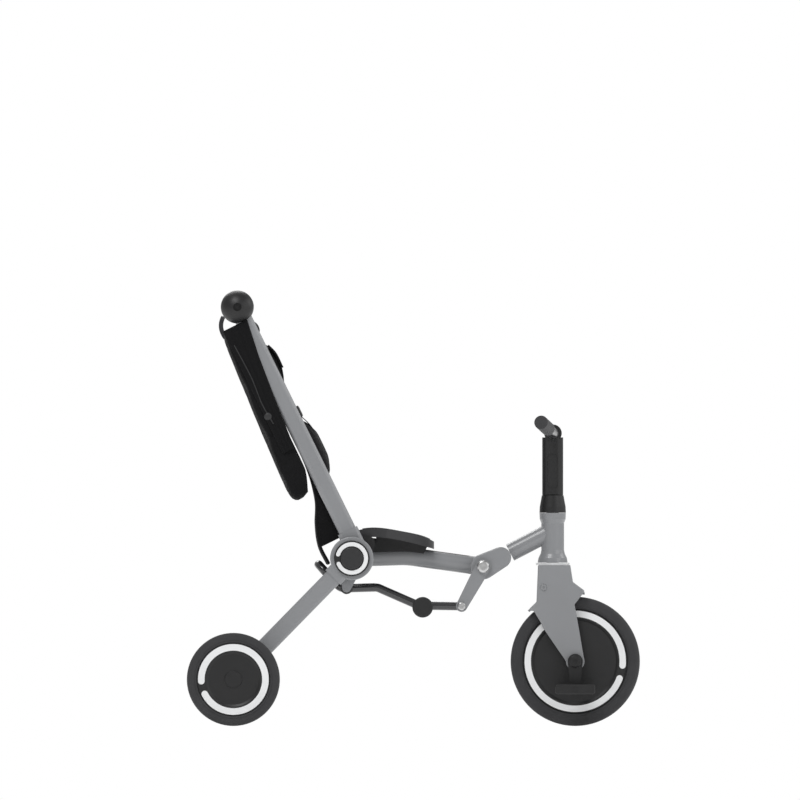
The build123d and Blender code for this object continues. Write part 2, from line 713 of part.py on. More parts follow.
def domed_head(point, y, radius, depth):
    """A domed bolt head standing on the plane y, with a hexagon socket; a tool in no open part."""
    with BuildPart(mode=Mode.PRIVATE) as head:
        with BuildSketch(Plane(origin=spot(point, y), x_dir=(1, 0, 0), z_dir=(0, 1, 0))) as disc:
            Circle(radius)
        extrude(disc.sketch, amount=depth)
        fillet(head.edges().group_by(Axis.Y)[-1], radius=depth * 0.6)
        with BuildSketch(Plane(origin=spot(point, y + depth), x_dir=(1, 0, 0), z_dir=(0, 1, 0))) as socket:
            RegularPolygon(radius * 0.36, 6)
        extrude(socket.sketch, amount=-depth * 0.45, mode=Mode.SUBTRACT)
    return head.part


with BuildPart() as front_bolts:
    cylinder_y(hinge, hinge_bolt_radius, -lever_out, lever_out)
    add(domed_head(hinge, lever_out, 12.5, bolt_head_out - lever_out))
    cylinder_y(lever_end, link_bolt_radius, bar_y - bar_radius, lever_out)
    add(domed_head(lever_end, lever_out, 8, 4.5))
    mirror(about=Plane.XZ)
save(front_bolts.part, "front_bolts")

# ================================================================ tie bar and foot pegs
bar_wall = 1.8
bar_points = [(-183.0, 312.0), (-140.0, 266.0), (-70.0, 268.0), (10.0, 233.0), lever_end]
bar_bend_radius = 20.0
rear_eye_radius = 12.0
front_eye_radius = 11.0
eye_half = bar_radius + 0.5
peg_at = (18.0, 229.5)
peg_axis_y = 57.0
peg_pin_radius = 4.0
peg_body_from = 72.0
peg_body_to = 126.0
clamp_radius = 14.0
ear_low, ear_high = 8.0, 13.4

with BuildPart() as bar_blank:
    with BuildLine() as bar_path:
        arm_points = [spot(point, bar_y) for point in reversed(bar_points)]
        FilletPolyline(*arm_points, *[(x, -y, z) for x, y, z in reversed(arm_points)], radius=bar_bend_radius)
    start = bar_path.wire() @ 0
    with BuildSketch(Plane(origin=start, x_dir=(0, 1, 0), z_dir=bar_path.wire() % 0)):
        Circle(bar_radius)
    sweep(path=bar_path.wire())
with BuildPart() as tie_bar:
    with BuildSketch(Plane(origin=start, x_dir=(0, 1, 0), z_dir=bar_path.wire() % 0)):
        Circle(bar_radius)
        Circle(bar_radius - bar_wall, mode=Mode.SUBTRACT)
    sweep(path=bar_path.wire())
    for sign in (1, -1):
        low, high = sorted((sign * (bar_y - eye_half), sign * (bar_y + eye_half)))
        cylinder_y(pull_point, rear_eye_radius, low, high)
        cylinder_y(lever_end, front_eye_radius, low, high)
        cylinder_y(pull_point, pull_rod_radius + pull_slack, low, high, mode=Mode.SUBTRACT)
        cylinder_y(lever_end, link_bolt_radius + running_gap, low, high, mode=Mode.SUBTRACT)
        add(upright_tool(62.0, 2.0, 215, 228, sign * bar_y), mode=Mode.SUBTRACT)
save(tie_bar.part.solids()[0], "tie_bar")

with BuildPart() as foot_clamps:
    cylinder_y(peg_at, clamp_radius, 20.5, 46)
    for z_low, z_high in ((ear_low, ear_high), (-ear_high, -ear_low)):
        with BuildSketch(Plane.XY.offset(peg_at[1] + z_low)):
            with Locations((peg_at[0], peg_axis_y)):
                Circle(9.5)
            with Locations((peg_at[0], (44 + peg_axis_y) / 2)):
                Rectangle(19, peg_axis_y - 44)
        extrude(amount=z_high - z_low)
    add(upright_tool(peg_at[0], peg_pin_radius, peg_at[1] - ear_high - 2, peg_at[1] + ear_high + 2, peg_axis_y))
    add(bar_blank.part, mode=Mode.SUBTRACT)
    mirror(about=Plane.XZ)
save(foot_clamps.part, "foot_clamps")

with BuildPart() as foot_peg:
    cylinder_y(peg_at, peg_radius, peg_body_from, peg_body_to)
    fillet(foot_peg.edges().filter_by(GeomType.CIRCLE), radius=3)
    with Locations([spot(peg_at, y) for y in (82, 91, 100, 109)]):
        Torus(peg_radius + 0.6, 2.2, rotation=(90, 0, 0), mode=Mode.SUBTRACT)
    with BuildSketch(Plane.XY.offset(peg_at[1] - ear_low + touch_gap)):
        with Locations((peg_at[0], peg_axis_y)):
            Circle(9.5)
        with Locations((peg_at[0], (peg_axis_y + peg_body_from + 2) / 2)):
            Rectangle(19, peg_body_from + 2 - peg_axis_y)
    extrude(amount=2 * (ear_low - touch_gap))
    add(upright_tool(peg_at[0], peg_pin_radius + running_gap, peg_at[1] - peg_radius, peg_at[1] + peg_radius,
                     peg_axis_y), mode=Mode.SUBTRACT)
save(foot_peg.part, "foot_peg_left")
save(foot_peg.part.mirror(Plane.XZ), "foot_peg_right")

# ================================================================ fork and handlebar
crown_x = steer_x + 3.0
guard_inner, guard_outer = 130.0, 134.5
fork_foot_radius = 18.0
fork_edge = 2.4
lock_ring_thickness = 4.6
steerer_low = fork_top - 26
bar_centre = (steer_x + 0.6, 566.0)
post_depth, post_width = 40.5, 32.0
post_clamp_radius = 17.0
fork_side = [(241, fork_top), (238, 240), (221.5, 224), (233, 222), (244.5, 203), (252.5, 187), (295, 125),
             (331, 125), (320.3, 187.5), (311.8, 234.9), (331.9, 261), (308.7, 278.4), (303.5, fork_top)]

with BuildPart() as fork:
    with BuildSketch(side(fork_leg_out)):
        fork_outline = Polygon(*fork_side, align=None)
        fillet(fork_outline.vertices().sort_by(Axis.Y)[2:-2], radius=3)
        with Locations(front_axle):
            Circle(fork_foot_radius)
    extrude(amount=fork_leg_out - fork_leg_in)
    fillet(fork.faces().sort_by(Axis.Y)[-1].edges(), radius=fork_edge)
    add(upright_tool(crown_x, fork_crown_radius, 240, fork_top))
    cylinder_y(front_axle, guard_inner, -fork_leg_in, fork_leg_in, mode=Mode.SUBTRACT)
    with BuildSketch(side(fork_leg_in + 2)):
        with BuildLine():
            CenterArc(front_axle, guard_inner, 82, 51)
            CenterArc(front_axle, guard_outer, 82, 51)
            Line(along(front_axle, 82, guard_inner), along(front_axle, 82, guard_outer))
            Line(along(front_axle, 133, guard_inner), along(front_axle, 133, guard_outer))
        make_face()
    extrude(amount=fork_leg_in + 2)
    mirror(about=Plane.XZ)
    add(upright_tool(steer_x, steerer_radius, steerer_low, fork_top), mode=Mode.SUBTRACT)
    cylinder_y(front_axle, crank_axle_radius + running_gap, -fork_leg_out, fork_leg_out, mode=Mode.SUBTRACT)
    for sign in (1, -1):
        add(domed_head((252, 268), fork_leg_out, 6, 2.5) if sign > 0
            else domed_head((252, 268), fork_leg_out, 6, 2.5).mirror(Plane.XZ))
save(fork.part, "fork")

with BuildPart() as lock_ring:
    add(upright_tool(steer_x, 29.6, fork_top, fork_top + lock_ring_thickness))
    for x in (steer_x - 29, steer_x + 29):
        with Locations((x, 0, fork_top + lock_ring_thickness / 2)):
            Box(7, 9, lock_ring_thickness)
    add(upright_tool(steer_x, steerer_radius, fork_top - 1, head_bottom), mode=Mode.SUBTRACT)
save(lock_ring.part, "lock_ring")

with BuildPart() as steerer_tube:
    add(upright_tool(steer_x, steerer_radius, steerer_low, collar_top))
    add(upright_tool(steer_x, steerer_radius - steerer_wall, steerer_low, collar_top), mode=Mode.SUBTRACT)
save(steerer_tube.part, "steerer_tube")

with BuildPart() as stem_collar:
    with BuildSketch(Plane.XZ):
        with BuildLine():
            Polyline((steer_x + steerer_radius, head_top + touch_gap), (steer_x + head_flange_radius, head_top + touch_gap),
                     (steer_x + head_flange_radius - 0.6, 424), (steer_x + 21, collar_top),
                     (steer_x + steerer_radius, collar_top), (steer_x + steerer_radius, head_top + touch_gap))
        make_face()
    revolve(axis=Axis((steer_x, 0, 0), (0, 0, 1)))
save(stem_collar.part, "stem_collar")

handlebar_points = [(247, 587, bar_half_width), (262, 573, 60), (bar_centre[0], bar_centre[1], 22)]
with BuildPart() as bar_tube:
    with BuildLine() as handle_path:
        half = [(x, y, z) for x, z, y in handlebar_points]
        FilletPolyline(*half, *[(x, -y, z) for x, y, z in reversed(half)], radius=60)
    bar_start = handle_path.wire() @ 0
    with BuildSketch(Plane(origin=bar_start, x_dir=(0, 0, 1), z_dir=handle_path.wire() % 0)):
        Circle(bar_tube_radius)
    sweep(path=handle_path.wire())
with BuildPart() as handlebar:
    add(bar_tube.part)
    with BuildSketch(Plane(origin=bar_start, x_dir=(0, 0, 1), z_dir=handle_path.wire() % 0)):
        Circle(bar_tube_radius - tube_wall)
    sweep(path=handle_path.wire(), mode=Mode.SUBTRACT)
save(handlebar.part, "handlebar")

with BuildPart() as bar_post:
    with BuildSketch(Plane.XY.offset(collar_top)):
        with Locations((steer_x, 0)):
            RectangleRounded(post_depth, post_width, 13)
    extrude(amount=post_top + 6 - collar_top)
    cylinder_y(bar_centre, post_clamp_radius, -post_width / 2 + 1, post_width / 2 - 1)
    fillet(bar_post.edges().group_by(Axis.Z)[0], radius=1.5)
    for sign in (1, -1):
        with BuildSketch(side(sign * post_width / 2)):
            with Locations((steer_x, (collar_top + post_top) / 2 - 6)):
                RectangleRounded(post_depth - 20, post_top - collar_top - 40, 6)
        extrude(amount=1.5 * sign, mode=Mode.SUBTRACT)
    add(bar_tube.part, mode=Mode.SUBTRACT)
save(bar_post.part, "bar_post")

with BuildPart() as handlebar_grips:
    grip_side = handle_path.wire() % 0
    with BuildSketch(Plane(origin=bar_start - grip_side * 3, x_dir=(0, 0, 1), z_dir=grip_side)):
        Circle(grip_radius)
    extrude(amount=grip_length)
    fillet(handlebar_grips.edges().filter_by(GeomType.CIRCLE), radius=3)
    add(bar_tube.part, mode=Mode.SUBTRACT)
    mirror(about=Plane.XZ)
save(handlebar_grips.part, "handlebar_grips")

# ================================================================ front wheel, crank and pedals
pin_out = pedal_in + pedal_size[2] + 3
crank_out = crank_in + crank_thickness
pedal_pin_right = along(front_axle, -90, crank_length)
pedal_pin_left = along(front_axle, 90, crank_length)
front_tyre_inner = front_wheel_radius - front_tyre_depth
front_face = front_tyre_width / 2 - rim_inset - 1

with BuildPart() as front_rim:
    add(rim(front_axle, 0, front_tyre_inner, front_tyre_width, crank_axle_radius, front_reflector))
    cylinder_y(front_axle, 20, front_face, fork_leg_in - 1)
    cylinder_y(front_axle, 20, -fork_leg_in + 1, -front_face)
    cylinder_y(front_axle, crank_axle_radius, -fork_leg_in, fork_leg_in, mode=Mode.SUBTRACT)
save(front_rim.part, "front_rim")

with BuildPart() as front_tyre:
    add(tyre(front_axle, 0, front_wheel_radius, front_tyre_depth, front_tyre_width))
    add(front_rim.part, mode=Mode.SUBTRACT)
save(front_tyre.part, "front_tyre")

with BuildPart() as front_reflectors:
    add(c_ring(front_axle, *front_reflector, front_face, front_face + reflector_thickness, -13, 8))
    mirror(about=Plane.XZ)
save(front_reflectors.part, "front_reflectors")

with BuildPart() as crank:
    cylinder_y(front_axle, crank_axle_radius, -crank_out, crank_out)
    for y_high, pin, y_low_pin in ((crank_out, pedal_pin_left, crank_in), (-crank_in, pedal_pin_right, -pin_out)):
        with BuildSketch(side(y_high)):
            with BuildSketch(mode=Mode.PRIVATE) as crank_ends:
                with Locations(front_axle):
                    Circle(14.5)
                with Locations(pin):
                    Circle(9)
            make_hull(crank_ends.sketch.edges())
        extrude(amount=crank_thickness)
        cylinder_y(pin, pedal_pin_radius, y_low_pin, y_low_pin + pin_out - crank_in)
    add(domed_head(front_axle, crank_out, 12, 4))
    add(domed_head(front_axle, crank_out, 12, 4).mirror(Plane.XZ))
save(crank.part, "crank")

with BuildPart() as pedal:
    with BuildSketch(side(pedal_in + pedal_size[2])):
        with Locations(pedal_pin_left):
            RectangleRounded(pedal_size[0], pedal_size[1], 5)
    extrude(amount=pedal_size[2])
    fillet(pedal.edges().filter_by(Axis.X), radius=2)
    for y in (pedal_in + 13, pedal_in + 35, pedal_in + 57):
        for z in (pedal_pin_left[1] - pedal_size[1] / 2, pedal_pin_left[1] + pedal_size[1] / 2):
            with Locations((pedal_pin_left[0], y, z)):
                Box(pedal_size[0] - 16, 5, 3, mode=Mode.SUBTRACT)
    cylinder_y(pedal_pin_left, pedal_pin_radius + running_gap, pedal_in, pedal_in + pedal_size[2],
               mode=Mode.SUBTRACT)
save(pedal.part, "pedal_left")
save(pedal.part.mirror(Plane.XZ).moved(Location((0, 0, -2 * crank_length))), "pedal_right")
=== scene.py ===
"""A toddler's folding push tricycle: soft goods, small fittings, finishes, light and camera."""
import json
import math

import bmesh
import bpy
import numpy as np
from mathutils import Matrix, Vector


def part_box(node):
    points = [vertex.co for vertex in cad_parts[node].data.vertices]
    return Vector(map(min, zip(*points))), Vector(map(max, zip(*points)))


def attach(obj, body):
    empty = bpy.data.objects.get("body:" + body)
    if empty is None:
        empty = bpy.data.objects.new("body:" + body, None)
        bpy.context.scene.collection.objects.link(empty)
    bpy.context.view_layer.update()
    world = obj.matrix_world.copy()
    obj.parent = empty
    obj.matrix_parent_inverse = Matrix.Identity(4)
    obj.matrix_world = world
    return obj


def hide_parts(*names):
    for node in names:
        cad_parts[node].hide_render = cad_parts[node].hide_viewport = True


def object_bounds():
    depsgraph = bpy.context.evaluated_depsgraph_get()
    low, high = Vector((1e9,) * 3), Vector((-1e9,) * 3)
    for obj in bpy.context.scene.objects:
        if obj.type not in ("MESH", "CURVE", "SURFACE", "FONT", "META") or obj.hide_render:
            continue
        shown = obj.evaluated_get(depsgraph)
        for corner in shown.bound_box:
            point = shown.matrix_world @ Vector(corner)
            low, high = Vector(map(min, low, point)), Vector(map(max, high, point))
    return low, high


bl_info = {
    "name": "Folding Push Tricycle",
    "version": (1, 0, 0),
    "blender": (4, 5, 0),
    "location": "View3D > Sidebar > Tricycle",
    "description": "Builds the soft goods, fittings and finishes of a folding push tricycle around its frame",
    "category": "Add Mesh",
}

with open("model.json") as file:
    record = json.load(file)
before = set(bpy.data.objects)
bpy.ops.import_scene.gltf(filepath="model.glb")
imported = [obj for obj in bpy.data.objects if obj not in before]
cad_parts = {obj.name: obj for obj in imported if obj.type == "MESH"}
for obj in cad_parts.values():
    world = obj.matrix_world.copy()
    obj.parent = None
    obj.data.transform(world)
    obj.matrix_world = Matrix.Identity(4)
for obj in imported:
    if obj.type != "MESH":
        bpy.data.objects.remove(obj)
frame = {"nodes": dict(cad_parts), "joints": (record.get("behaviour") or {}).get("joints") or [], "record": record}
CAD_BOX = [list(corner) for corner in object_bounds()]
NODES = frame["nodes"]
JOINTS = {joint["name"]: joint for joint in frame["joints"]}
SLOTS = {entry["node"]: entry["material_slot"] for entry in frame["record"]["subparts"]}
PAINTS = {entry["slot"]: tuple(entry["base_color"][:3]) for entry in frame["record"]["materials"]}
MOUNTS = {entry["name"]: entry["pos_m"] for entry in frame["record"]["mounts"]}

HUB = np.array(JOINTS["backrest_fold"]["pos_m"])
HINGE = np.array(JOINTS["front_fold"]["pos_m"])
PUSH_BAR = np.array(MOUNTS["push_handle"])
UPRIGHT_OFFSET = 0.016
STRIP_START = 0.112
STRIP_LENGTH = 0.088
SPINE_BEND = HUB + np.array((0.107, 0.0, 0.0045))
SPINE_SLOPE = (SPINE_BEND[2] - HINGE[2]) / (HINGE[0] - SPINE_BEND[0])
RECLINE = math.atan2(PUSH_BAR[2] - HUB[2], PUSH_BAR[0] - HUB[0])
RECLINE += math.atan(UPRIGHT_OFFSET / math.dist(PUSH_BAR, HUB))
ALONG = np.array((math.cos(RECLINE), 0.0, math.sin(RECLINE)))
AHEAD = np.array((math.sin(RECLINE), 0.0, -math.cos(RECLINE)))


# ---------------------------------------------------------------- surfaces worked out with numpy
def leaning(o, s, y):
    """The point hub + o * ahead + s * along, at y: o is forward of the uprights' line and s is up along it."""
    o, s, y = np.broadcast_arrays(np.asarray(o, float), s, y)
    points = HUB + o[..., None] * AHEAD + s[..., None] * ALONG
    points[..., 1] = y
    return points


def smooth_line(points, count):
    """count points evenly spread by length on a Catmull-Rom curve through the given points."""
    p = np.array(points, float)
    p = np.vstack((2 * p[0] - p[1], p, 2 * p[-1] - p[-2]))
    steps = 24
    t = np.linspace(0, 1, steps, endpoint=False)[:, None, None]
    a, b, c, d = (p[i:len(p) - 3 + i][None] for i in range(4))
    curve = 0.5 * (2 * b + (c - a) * t + (2 * a - 5 * b + 4 * c - d) * t ** 2 + (3 * b - a - 3 * c + d) * t ** 3)
    curve = np.vstack((curve.transpose(1, 0, 2).reshape(-1, p.shape[1]), p[-2]))
    length = np.concatenate(([0.0], np.cumsum(np.linalg.norm(np.diff(curve, axis=0), axis=1))))
    wanted = np.linspace(0, length[-1], count)
    return np.column_stack([np.interp(wanted, length, curve[:, k]) for k in range(p.shape[1])])


def frames_along(line, up):
    """Unit tangent, side and normal at each point of a line; side is the tangent crossed with up."""
    tangent = np.gradient(line, axis=0)
    tangent /= np.linalg.norm(tangent, axis=1, keepdims=True)
    across = np.cross(tangent, np.asarray(up, float))
    across /= np.linalg.norm(across, axis=1, keepdims=True)
    return tangent, across, np.cross(across, tangent)


def grid_mesh(name, grid, around=False, caps=False, uv=None):
    """A mesh from a grid of points (rows, columns, 3): quads between neighbours, closed around the columns if
    around is set, with an end fan at the first and last rows if caps is set. uv is (rows, columns, 2) in metres."""
    rows, columns = grid.shape[:2]
    index = np.arange(rows * columns).reshape(rows, columns)
    right = np.roll(index, -1, axis=1) if around else index[:, 1:]
    left = index if around else index[:, :-1]
    faces = np.stack((left[:-1], right[:-1], right[1:], left[1:]), axis=-1).reshape(-1, 4).tolist()
    points = grid.reshape(-1, 3)
    if caps:
        middles = np.array((grid[0].mean(axis=0), grid[-1].mean(axis=0)))
        first, last = len(points), len(points) + 1
        points = np.vstack((points, middles))
        faces += np.stack((right[0], left[0], np.full(len(left[0]), first)), axis=-1).tolist()
        faces += np.stack((left[-1], right[-1], np.full(len(left[0]), last)), axis=-1).tolist()
    mesh = bpy.data.meshes.new(name)
    mesh.from_pydata(points.tolist(), [], faces)
    if uv is not None:
        layer = mesh.uv_layers.new(name="UVMap")
        corner = np.zeros(len(mesh.loops), np.int32)
        mesh.loops.foreach_get("vertex_index", corner)
        flat = np.vstack((uv.reshape(-1, 2), np.zeros((2, 2))))
        layer.data.foreach_set("uv", flat[corner].ravel())
    mesh.polygons.foreach_set("use_smooth", np.ones(len(mesh.polygons), bool))
    mesh.validate()
    return mesh


def piece(name, mesh, body, slot):
    """An object at the origin that rides on a body and takes its finish from a slot."""
    made = bpy.data.objects.new(name, mesh)
    bpy.context.scene.collection.objects.link(made)
    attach(made, body)
    made.data.materials.append(FINISHES[slot])
    return made


def outward(mesh):
    """Recalculates a closed mesh's normals so that they point outwards, after merging doubles."""
    work = bmesh.new()
    work.from_mesh(mesh)
    bmesh.ops.remove_doubles(work, verts=work.verts, dist=1e-6)
    bmesh.ops.recalc_face_normals(work, faces=work.faces)
    work.to_mesh(mesh)
    work.free()
    return mesh


def tube_mesh(name, line, radius, sides=12, up=(0, 1, 0)):
    """A round tube along a line: each ring is centre + radius * (cos a * side + sin a * normal)."""
    _, across, normal = frames_along(line, up)
    angle = np.linspace(0, 2 * np.pi, sides, endpoint=False)
    radius = np.broadcast_to(radius, len(line))[:, None, None]
    ring = np.cos(angle)[None, :, None] * across[:, None] + np.sin(angle)[None, :, None] * normal[:, None]
    return outward(grid_mesh(name, line[:, None] + radius * ring, around=True, caps=True))


def ribbon_mesh(name, line, across, width, thickness, edge=0.3):
    """A flat webbing band along a line: its section is a rounded oblong, |x/w|^p + |z/t|^p = 1 with p = 2 / edge,
    set across the line. UV runs in metres across and along the band."""
    tangent = np.gradient(line, axis=0)
    tangent /= np.linalg.norm(tangent, axis=1, keepdims=True)
    across = np.broadcast_to(across, line.shape) / np.linalg.norm(across, axis=-1, keepdims=True)
    normal = np.cross(across, tangent)
    angle = np.linspace(0, 2 * np.pi, 20, endpoint=False)
    x = np.sign(np.cos(angle)) * np.abs(np.cos(angle)) ** edge * width / 2
    z = np.sign(np.sin(angle)) * np.abs(np.sin(angle)) ** edge * thickness / 2
    grid = line[:, None] + x[None, :, None] * across[:, None] + z[None, :, None] * normal[:, None]
    length = np.concatenate(([0.0], np.cumsum(np.linalg.norm(np.diff(line, axis=0), axis=1))))
    uv = np.stack(np.broadcast_arrays(x[None, :], length[:, None]), axis=-1)
    return grid_mesh(name, grid, around=True, caps=True, uv=uv)


def bump_noise(points, scale, seed):
    """Smooth noise from -1 to 1: the sum of six sine waves of the place, with seeded directions and phases."""
    rng = np.random.default_rng(seed)
    total = np.zeros(points.shape[:-1])
    for wave in range(6):
        direction = rng.normal(size=3)
        direction *= scale * (1 + wave * 0.45) / np.linalg.norm(direction)
        total += np.sin(points @ direction + rng.uniform(0, 2 * np.pi)) / (1 + wave)
    return total / 2.45


# ---------------------------------------------------------------- shader maths as expressions
class Value:
    """A shader socket that can be used in arithmetic: each operation on it adds a Math node."""

    def __init__(self, tree, socket):
        self.tree, self.socket = tree, socket

    def math(self, operation, *others, swap=False):
        node = self.tree.nodes.new("ShaderNodeMath")
        node.operation = operation
        for slot, other in enumerate(reversed((self, *others)) if swap else (self, *others)):
            if isinstance(other, Value):
                self.tree.links.new(other.socket, node.inputs[slot])
            else:
                node.inputs[slot].default_value = other
        return Value(self.tree, node.outputs[0])

    def __add__(self, other):
        return self.math("ADD", other)

    def __sub__(self, other):
        return self.math("SUBTRACT", other)

    def __rsub__(self, other):
        return self.math("SUBTRACT", other, swap=True)

    def __mul__(self, other):
        return self.math("MULTIPLY", other)

    __radd__, __rmul__ = __add__, __mul__

    def clamp(self):
        return self.math("MAXIMUM", 0.0).math("MINIMUM", 1.0)

    def sine(self):
        return self.math("SINE")


class Finish:
    """A material: a Principled shader with helpers for the nodes that feed it."""

    def __init__(self, name, metallic=0.0, coat=0.0, coat_roughness=0.1, sheen=0.0, ior=1.5):
        self.material = bpy.data.materials.new(name)
        self.material.use_nodes = True
        self.tree = self.material.node_tree
        self.shader = self.tree.nodes["Principled BSDF"]
        for socket, number in (("Metallic", metallic), ("Coat Weight", coat), ("Coat Roughness", coat_roughness),
                               ("Sheen Weight", sheen), ("IOR", ior)):
            self.shader.inputs[socket].default_value = number

    def node(self, kind, settings=(), output=0, **sockets):
        """Adds a node: its settings first, then its sockets' values or links, by name or by _index."""
        made = self.tree.nodes.new(kind)
        for key, setting in dict(settings).items():
            setattr(made, key, setting)
        for key, content in sockets.items():
            socket = made.inputs[int(key[1:]) if key[0] == "_" else key.replace("_", " ")]
            if isinstance(content, Value):
                self.tree.links.new(content.socket, socket)
            else:
                socket.default_value = content
        return Value(self.tree, made.outputs[output])

    def place(self):
        return self.node("ShaderNodeTexCoord", output="Object")

    def uv(self):
        return self.node("ShaderNodeTexCoord", output="UV")

    def split(self, vector):
        return [self.node("ShaderNodeSeparateXYZ", output=k, _0=vector) for k in range(3)]

    def noise(self, vector, scale, detail=3.0, rough=0.5):
        return self.node("ShaderNodeTexNoise", Vector=vector, Scale=scale, Detail=detail, Roughness=rough)

    def grain(self, vector, scale):
        return self.node("ShaderNodeTexVoronoi", Vector=vector, Scale=scale)

    def blend(self, factor, dark, light):
        mix = self.tree.nodes.new("ShaderNodeMix")
        mix.data_type = "RGBA"
        self.tree.links.new(factor.socket, mix.inputs["Factor"])
        for socket, content in ((mix.inputs[6], dark), (mix.inputs[7], light)):
            if isinstance(content, Value):
                self.tree.links.new(content.socket, socket)
            else:
                socket.default_value = (*content, 1.0)
        return Value(self.tree, mix.outputs[2])

    def feed(self, **sockets):
        for key, content in sockets.items():
            socket = self.shader.inputs[key.replace("_", " ")]
            if isinstance(content, Value):
                self.tree.links.new(content.socket, socket)
            else:
                socket.default_value = content

    def raise_by(self, height, distance, strength=1.0):
        bump = self.node("ShaderNodeBump", Height=height, Distance=distance, Strength=strength)
        self.tree.links.new(bump.socket, self.shader.inputs["Normal"])


def shade(color, factor):
    return tuple(min(1.0, channel * factor) for channel in color)


def painted_tube(name, color, rough=0.34, coat=0.35):
    """Powder paint: an even colour, slight orange peel, and small rubbed spots that are duller."""
    made = Finish(name, coat=coat, coat_roughness=0.18)
    place = made.place()
    cloud = made.noise(place, 9.0)
    rubbed = (made.noise(place, 55.0, 6.0, 0.62) - 0.58).clamp() * 3.0
    made.feed(Base_Color=made.blend(cloud, shade(color, 0.94), shade(color, 1.06)),
              Roughness=rubbed * 0.16 + cloud * 0.05 + (rough - 0.03))
    made.raise_by(made.noise(place, 620.0, 1.0) * 0.6 + made.noise(place, 130.0, 2.0) * 0.4, 0.00006)
    return made.material


def moulded(name, color, rough=0.5, grain_size=0.0011, depth=0.00005, coat=0.0):
    """Moulded plastic: a fine spark-eroded grain, with flow clouds and faint scuffs."""
    made = Finish(name, coat=coat, coat_roughness=0.12)
    place = made.place()
    cloud = made.noise(place, 14.0)
    scuff = (made.noise(place, 90.0, 6.0, 0.7) - 0.6).clamp() * 4.0
    made.feed(Base_Color=made.blend((cloud * 0.6 + scuff * 0.5).clamp(), shade(color, 0.88), shade(color, 1.3)),
              Roughness=(cloud * 0.1 + scuff * 0.14 + (rough - 0.05)).clamp())
    made.raise_by(made.grain(place, 1 / grain_size), depth)
    return made.material


def foam_rubber(name, color, rough=0.82, cell=0.0016):
    """Closed-cell foam or tyre rubber: fine pits, dusty lighter patches, and a dull surface."""
    made = Finish(name, sheen=0.08)
    place = made.place()
    dust = (made.noise(place, 24.0, 5.0, 0.6) - 0.42).clamp() * 1.7
    pits = made.grain(place, 1 / cell)
    made.feed(Base_Color=made.blend(dust.clamp(), color, shade(color, 1.5)), Roughness=dust * 0.1 + rough)
    made.raise_by(pits * 0.7 + made.noise(place, 420.0) * 0.5, 0.00009)
    return made.material


def woven(name, color, pitch=0.0011, depth=0.00016, rough=0.88, sheen=0.04):
    """Plain-weave cloth on the surface's own UV in metres: warp and weft threads that pass over each other."""
    made = Finish(name, sheen=sheen, ior=1.32)
    made.shader.inputs["Sheen Roughness"].default_value = 0.4
    u, v, _ = made.split(made.uv())
    turn = 2 * math.pi / pitch
    warp, weft = (u * turn).sine(), (v * turn).sine()
    over = (u * (turn / 2)).sine() * (v * (turn / 2)).sine()
    threads = warp * over + weft * (1.0 - over)
    place = made.place()
    fade = made.noise(place, 16.0, 4.0)
    made.feed(Base_Color=made.blend((threads * 0.22 + fade).clamp(), shade(color, 0.7), shade(color, 1.45)),
              Roughness=fade * 0.12 + (rough - 0.06))
    made.raise_by(threads * 0.5 + made.noise(place, 900.0, 2.0) * 0.5, depth)
    return made.material


def solid_woven(name, color, pitch=0.0013):
    """Woven mesh cloth on a remeshed pad, which has no UV: threads follow the across and along axes."""
    made = Finish(name, sheen=0.05, ior=1.32)
    made.shader.inputs["Sheen Roughness"].default_value = 0.45
    place = made.place()
    x, y, z = made.split(place)
    along = x * float(ALONG[0]) + z * float(ALONG[2])
    turn = 2 * math.pi / pitch
    warp, weft = (y * turn).sine(), (along * turn).sine()
    over = (y * (turn / 2)).sine() * (along * (turn / 2)).sine()
    threads = warp * over + weft * (1.0 - over)
    fade = made.noise(place, 18.0, 4.0)
    made.feed(Base_Color=made.blend((threads * 0.2 + fade).clamp(), shade(color, 0.7), shade(color, 1.5)),
              Roughness=fade * 0.12 + 0.82)
    made.raise_by(threads * 0.6 + made.noise(place, 800.0, 2.0) * 0.4, 0.0002)
    return made.material


def webbing(name, color, rib=0.0016):
    """Belt webbing on UV in metres: ribs across the band in a staggered twill, crossed by cords along it."""
    made = Finish(name, sheen=0.05, ior=1.35)
    u, v, _ = made.split(made.uv())
    turn = 2 * math.pi / rib
    rows = (v * turn + (u * (turn / 3)).sine() * 1.6).sine()
    cords = (u * (turn * 0.8)).sine()
    height = rows * 0.6 + cords * 0.4
    made.feed(Base_Color=made.blend((height * 0.3 + 0.5).clamp(), shade(color, 0.6), shade(color, 1.7)),
              Roughness=height * 0.04 + 0.74)
    made.raise_by(height, 0.0002)
    return made.material


def bright_metal(name, color, rough=0.28):
    """Zinc-plated or chromed steel: fine brushing and cloudy stains in the roughness."""
    made = Finish(name, metallic=1.0)
    place = made.place()
    cloud = made.noise(place, 60.0, 4.0)
    brushed = made.noise(made.node("ShaderNodeMapping", Vector=place, Scale=(1.0, 14.0, 1.0)), 300.0)
    made.feed(Base_Color=made.blend(cloud, shade(color, 0.82), shade(color, 1.12)),
              Roughness=cloud * 0.12 + brushed * 0.1 + (rough - 0.08))
    made.raise_by(brushed, 0.00003)
    return made.material


